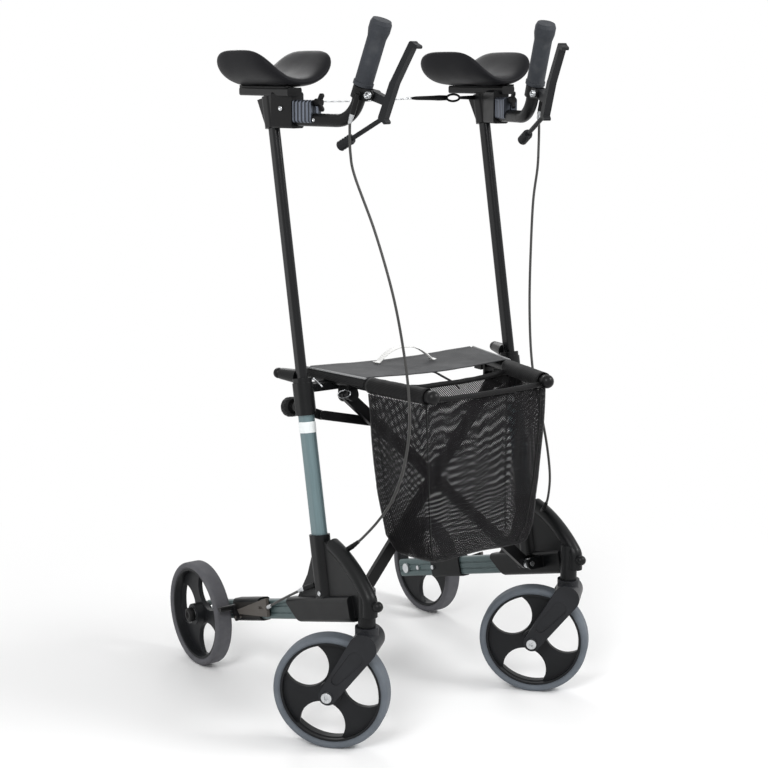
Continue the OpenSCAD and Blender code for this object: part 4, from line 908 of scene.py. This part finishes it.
def basket_seams(walls):
    """Bound seams down the bag's four corners."""
    made = []
    for name, (across, y) in SEAMS.items():
        x = across * (rail_at(y) - SEAM_IN)
        away = [abs(p.x - MID_X - x) + 4 * abs(p.y - MID_Y + y) for p in walls[0]]
        line = [ring[away.index(min(away))] for ring in walls]
        seam = sweep(line, SEAM_R, 8)
        made.append(piece("basket_seam_" + name, *seam, "hem", "right_rail", "basket_cloth"))
    return made


SLEEVE_REAR, SLEEVE_FRONT, SLEEVE_STEPS = BASKET_REAR - 0.002, BASKET_FRONT + 0.004, 24
SLEEVE_R, SLEEVE_WOBBLE, SLEEVE_THICK = RAIL_R + 0.0018, 0.0007, 0.0010


def basket_sleeve(side):
    """A cloth tube round a rail, open at both ends."""
    line, radii = [], []
    for k, share in enumerate(steps(SLEEVE_STEPS)):
        y = SLEEVE_REAR + (SLEEVE_FRONT - SLEEVE_REAR) * share
        line.append(place(side, rail_at(y), -y, RAIL_Z))
        radii.append(SLEEVE_R + SLEEVE_WOBBLE * noise.noise(Vector((k * 0.45, SIDES[side], 5))))
    verts, faces = sweep(line, radii, 24)
    sleeve = piece(side + "_basket_sleeve", verts, faces[:-2], "hem", side + "_rail", "basket_cloth")
    return applied(sleeve, "SOLIDIFY", thickness=SLEEVE_THICK, offset=1.0)


# Cables and tether

CABLE_D, CABLE_SIDES = 0.0045, 14
CASTER_Y = 0.277
CABLE_SHARES = {
    # across as a share of HANDLE_X, forward of CASTER_Y, up of the height between foot and head
    "right": ((0.819, 0.859, 0.743), (0.786, 0.999, 0.613), (0.761, 1.075, 0.501), (0.752, 1.133, 0.389),
              (0.749, 1.139, 0.297), (0.771, 1.104, 0.204), (0.816, 1.040, 0.128), (0.876, 0.960, 0.074),
              (0.935, 0.859, 0.026)),
    "left": ((0.854, 0.719, 0.785), (0.857, 0.701, 0.660), (0.840, 0.715, 0.536), (0.819, 0.755, 0.424),
             (0.799, 0.817, 0.341), (0.797, 0.895, 0.261), (0.820, 0.939, 0.179), (0.880, 0.917, 0.099),
             (0.935, 0.852, 0.035)),
}
CABLE_STOP, CABLE_GAP, CABLE_STRAIGHT = (0.015, -0.008, -0.018), 0.004, 0.009
# in the grip's frame, past the knob of the squeezed lever
CABLE_CLEAR = ((0.0160, -0.015, -0.048), (0.0155, -0.028, -0.078), (0.0115, -0.047, -0.110))
CABLE_FOOT = (0.210, -0.218, 0.341)
LEAD_LENGTH = 0.08


def brake_cable(side):
    """The Bowden cable: a top lead and a long run, with a boot on the run and an adjuster at the cable stop
    by the grip.
    """
    stop_x, stop_y, stop_z = CABLE_STOP
    stop = on_grip(side, stop_x, stop_y, stop_z)
    head = on_grip(side, stop_x, stop_y, stop_z - CABLE_GAP)
    points = [head, on_grip(side, stop_x, stop_y, stop_z - CABLE_GAP - CABLE_STRAIGHT)]
    points += [on_grip(side, *p) for p in CABLE_CLEAR]
    foot_z = CABLE_FOOT[2]
    points += [place(side, HANDLE_X * x, -CASTER_Y * y, foot_z + (head.z - foot_z) * z)
               for x, y, z in CABLE_SHARES[side]]
    points += [place(side, *CABLE_FOOT)]
    line = route(points, 12)
    cut = next(i for i in range(len(line)) if length_of(line[:i + 1]) > LEAD_LENGTH)
    lead, run = line[:cut + 1], line[:cut - 1:-1]
    top = piece(side + "_cable_lead", *sweep(lead, CABLE_D / 2, CABLE_SIDES), "cable", slot="cable")
    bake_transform(top)
    boot = ferrule(side + "_cable_boot", run[0], run[4] - run[0], side + "_frame", "knob")
    ferrule(side + "_cable_adjuster", stop, head - stop, side + "_handle", "steel")
    main = piece(side + "_cable_run", *sweep(run, CABLE_D / 2, CABLE_SIDES), "cable", slot="cable")
    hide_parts(side + "_brake_cable")
    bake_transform(main)


LOW_START, LOW_END, LOW_BULGE = (0.243, -0.1117, 0.2420), (0.2465, 0.01059, 0.17195), 0.0045


def lower_cable(side):
    """The cable's short stretch along the lower tube, from the bridge to the brake."""
    start, end = place(side, *LOW_START), place(side, *LOW_END)
    bulge = Vector((SIDES[side] * 4 * LOW_BULGE, 0, 0))
    line = [start + (end - start) * t + bulge * t * (1 - t) for t in steps(24)]
    frame_body = side + "_frame"
    lower = piece(side + "_cable_low", *sweep(line, CABLE_D / 2, CABLE_SIDES), "cable", frame_body, "cable")
    ends = [ferrule(side + "_cable_ferrule_front", line[0], line[2] - line[0], frame_body, "steel"),
            ferrule(side + "_cable_ferrule_rear", line[-1], line[-3] - line[-1], frame_body, "steel")]


FERRULE = ((0.0034, -0.001), (0.0040, 0.0), (0.0040, 0.007), (0.0034, 0.008), (0.0034, 0.014),
           (0.0028, 0.0165), (0.0024, 0.017))


def ferrule(name, at, axis, body, material):
    """A stepped end sleeve on a cable."""
    slot = "steel" if material == "steel" else "cable"
    return piece(name, *lathe(FERRULE, at, axis, 20), material, body, slot)


WIRE_D, WIRE_SAG = 0.0025, 0.004
HEAD_HALF = 0.0128
WIRE_START, WIRE_END = (-UPRIGHT_X + HEAD_HALF, 0.008), (0.073, 0.016)
HOOK_L, EYE_HALF, EYE_RISE, EYE_WIRE = 0.094, 0.0145, 0.0062, 0.0021
HOOK_BLADE = (
    # distance from the wire's end, half width, half height
    (0.0003, 0.0024, 0.0022), (0.010, 0.0030, 0.0034), (0.045, 0.0034, 0.0042),
    (HOOK_L - 0.032, 0.0036, 0.0050), (HOOK_L - EYE_HALF, 0.0034, 0.0046),
)
HOOK_ANCHOR = (
    # distance from the eye's middle, radius
    (EYE_HALF, 0.0026), (0.02, 0.0030), (0.035, 0.0036),
    (UPRIGHT_X - HEAD_HALF - WIRE_END[0] - HOOK_L, 0.0040),
)
CRIMP = ((0.0016, 0.0), (0.0022, 0.001), (0.0022, 0.010), (0.0016, 0.011))


def tether():
    """Steel wire between the post heads, with its moulded hook strap and the eye's anchor."""
    z = middle("tether_hook").z
    start, end = (Vector((MID_X + x, MID_Y + y, z)) for x, y in (WIRE_START, WIRE_END))
    line = [start + (end - start) * t - Vector((0, 0, 4 * WIRE_SAG * t * (1 - t))) for t in steps(30)]
    wire = piece("tether_cord", *sweep(line, WIRE_D / 2, 10), "wire", "right_mast", "wire")
    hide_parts("tether_wire")
    rings = [[end + Vector((x, wide * math.cos(a), high * math.sin(a))) for a in turns(16)]
             for x, wide, high in HOOK_BLADE]
    blade = piece("tether_blade", *loft(rings), "knob", "right_mast", "black_plastic")
    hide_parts("tether_hook")
    eye = end + Vector((HOOK_L, 0, 0))
    loop = [eye + Vector((EYE_HALF * math.cos(a), 0, EYE_RISE * math.sin(a))) for a in turns(48)]
    ring = piece("tether_eye", *closed_tube(loop, EYE_WIRE), "knob", "right_mast", "black_plastic")
    tab = sweep([eye + Vector((x, 0, 0)) for x, _ in HOOK_ANCHOR], [r for _, r in HOOK_ANCHOR], 14)
    piece("tether_anchor", *tab, "knob", "left_mast", "black_plastic")
    crimp = piece("tether_crimp", *lathe(CRIMP, end, (-1, 0, 0), 20), "steel", "right_mast", "steel")
    return [wire, crimp, blade, ring]


def closed_tube(points, radius, sides=10):
    """A ring-shaped tube through a flat closed loop of points."""
    n = len(points)
    normal = (points[n // 4] - points[0]).cross(points[n // 2] - points[0]).normalized()
    rings = []
    for i, point in enumerate(points):
        outward = (points[(i + 1) % n] - points[i - 1]).normalized().cross(normal)
        rings.append([point + radius * (math.cos(a) * outward + math.sin(a) * normal) for a in turns(sides)])
    return loft(rings + rings[:1], caps=False)


# Small trim

BAND_Z, BAND_HIGH, BAND_PROUD = -0.0755, 0.019, 0.0007
BAND_LEVELS = ((0.0, 0.998), (0.0004, 1.0), (BAND_HIGH - 0.0004, 1.0), (BAND_HIGH, 0.998))


def oval(half_wide, half_deep):
    """Outline of a round-sided profile, x outward and y back."""
    straight = half_deep - half_wide
    return [(half_wide * math.cos(a), half_wide * math.sin(a) + math.copysign(straight, math.sin(a)))
            for a in turns(40)]


def upright_band(side):
    """White sleeve band round the upright."""
    outline = oval(UPRIGHT_W / 2 + BAND_PROUD, UPRIGHT_D / 2 + BAND_PROUD)
    rings = [[on_upright(side, x * grow, y * grow, BAND_Z - BAND_HIGH + z) for x, y in outline]
             for z, grow in BAND_LEVELS]
    piece(side + "_upright_band", *loft(rings), "band", side + "_frame", "tube")


PIVOT = (0.0112, -0.027, 0.022)
BOLTS = {
    # the frame it is placed in, its place there, head radius and height, the body it rides on
    "knee_bolt": (on_upright, (UPRIGHT_W / 2 + 0.0038, -0.004, -0.372), 0.0045, 0.0030, "frame"),
    "bar_rivet": (on_handle, (0.0108, -0.047, 0.0), 0.0030, 0.0014, "handle"),
    "bracket_bolt": (on_handle, (0.0151, 0.024, 0.018), 0.0044, 0.0034, "mast"),
    "pivot_bolt_outer": (on_grip, PIVOT, 0.0034, 0.0030, "handle"),
    "pivot_bolt_inner": (on_grip, (-PIVOT[0], *PIVOT[1:]), 0.0034, 0.0030, "handle"),
}
BOLT_HEAD = (
    # shares of the head's radius and height, down into its socket
    (1.0, 0.0), (1.0, 0.45), (0.92, 0.75), (0.7, 1.0), (0.48, 1.0), (0.44, 0.55), (0.05, 0.5),
)


def bolt(side, name):
    """A domed bolt head with a recessed socket, facing out or in along its frame's x."""
    inside, at, radius, high, body = BOLTS[name]
    axis = inside(side, math.copysign(1, at[0]), 0, 0) - inside(side, 0, 0, 0)
    profile = [(radius * r, high * h) for r, h in BOLT_HEAD]
    verts, faces = lathe(profile, inside(side, *at), axis, 24)
    piece(side + "_" + name, verts, faces, "steel", side + "_" + body, "steel")


SPRING_R, SPRING_WIRE, SPRING_L, SPRING_TURNS, SPRING_STEPS = 0.0050, 0.0008, 0.0060, 4, 80


def lever_spring(side):
    """Return spring coiled round the lever pivot, on the face towards the camera."""
    face = -SIDES[side]
    x, y, z = PIVOT
    line = []
    for share in steps(SPRING_STEPS):
        a = 2 * math.pi * SPRING_TURNS * share
        across, back, up = x + SPRING_L * share, y + SPRING_R * math.cos(a), z + SPRING_R * math.sin(a)
        line.append(on_grip(side, face * across, back, up))
    piece(side + "_lever_spring", *sweep(line, SPRING_WIRE, 8), "steel", side + "_handle", "steel")


REAR_OUT, AXLE_Z = 0.2935, 0.100
HUB_CAP = ((0.0133, -0.0072), (0.0137, -0.0066), (0.0137, 0.0006), (0.0128, 0.0020), (0.0100, 0.0030),
           (0.0058, 0.0031), (0.0052, 0.0018), (0.0002, 0.0016))
COLLAR_PIN = ((0.203, -0.0834, 0.6074), (0.198, -0.1053, 0.5957))
COLLAR_PIN_SHAPE = (
    # share of the length, radius
    (0.0, 0.0010), (0.02, 0.0016), (0.5, 0.0016), (0.96, 0.0020), (0.99, 0.0016), (1.0, 0.0006),
)


def side_trim(side):
    """Band, bolts, spring, hub cap and collar pin of one side."""
    upright_band(side)
    for name in BOLTS:
        bolt(side, name)
    lever_spring(side)
    cap = lathe(HUB_CAP, place(side, REAR_OUT, REAR_AXLE_Y, AXLE_Z), (SIDES[side], 0, 0))
    piece(side + "_hub_cap", *cap, "knob", side + "_frame", "black_plastic")
    start, end = (place(side, *point) for point in COLLAR_PIN)
    line = [start + (end - start) * share for share, _ in COLLAR_PIN_SHAPE]
    pin = sweep(line, [radius for _, radius in COLLAR_PIN_SHAPE], 14)
    piece(side + "_collar_pin", *pin, "steel", side + "_frame", "steel")


RING_AT, RING_HALF, RING_RISE, RING_WIRE = (0.178, -0.1436, 0.5870), 0.0130, 0.0064, 0.0009


def clevis_ring():
    """Split ring on the near rail's clevis."""
    centre = place("right", *RING_AT)
    loop = [centre + Vector((RING_HALF * math.cos(a), 0, RING_RISE * math.sin(a))) for a in turns(40)]
    piece("clevis_ring", *closed_tube(loop, RING_WIRE), "steel", "right_rail", "steel")


# Dressing the CAD nodes

LOOKS = make_finishes()
NODE_LOOKS = {
    "lower_tube": "tube_low_shaded", "upright": "tube_up", "bridge": "moulded", "collar": "moulded",
    "frame_fittings": "steel", "brake_housing": "housing", "post": "post", "post_head": "coated",
    "bar_clamp": "cast", "handle_bar": "coated", "hand_grip": "grip", "brake_bracket": "coated",
    "brake_lever": "lever", "height_knob": "knob", "wing_screw": "knob", "rear_tyre": "dark_tyre",
    "rear_rim": "rim", "brake_shoe": "coated", "fork": "fork", "caster_axle": "steel",
    "caster_tyre": "grey_tyre", "caster_rim": "rim", "seat_rail": "coated", "cross_bar": "coated",
    "stay_link": "coated",
}


def dress_nodes():
    for side in SIDES:
        for part, look in NODE_LOOKS.items():
            mesh = NODES[side + "_" + part].data
            mesh.materials.clear()
            mesh.materials.append(LOOKS[look])


# Meshes of their own for the cloth and wire pieces


def fold_away(pieces):
    """Gives each of the cloth and wire pieces a mesh of its own."""
    for obj in pieces:
        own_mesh(obj)


def fold_cloth(pieces):
    """Gives each cloth piece a mesh of its own, through fold_away."""
    fold_away(pieces)


bpy.context.scene.view_settings.view_transform = "Standard"
make_camera()
for each_side in SIDES:
    brake_cable(each_side)
    lower_cable(each_side)
wire_pieces = tether()
make_lights()
make_floor()
dress_nodes()
for each_side in SIDES:
    forearm_pad(each_side)
    side_trim(each_side)
clevis_ring()
fold_cloth(seat() + seat_strap() + elastic())
fold_cloth(basket())
fold_away(wire_pieces)
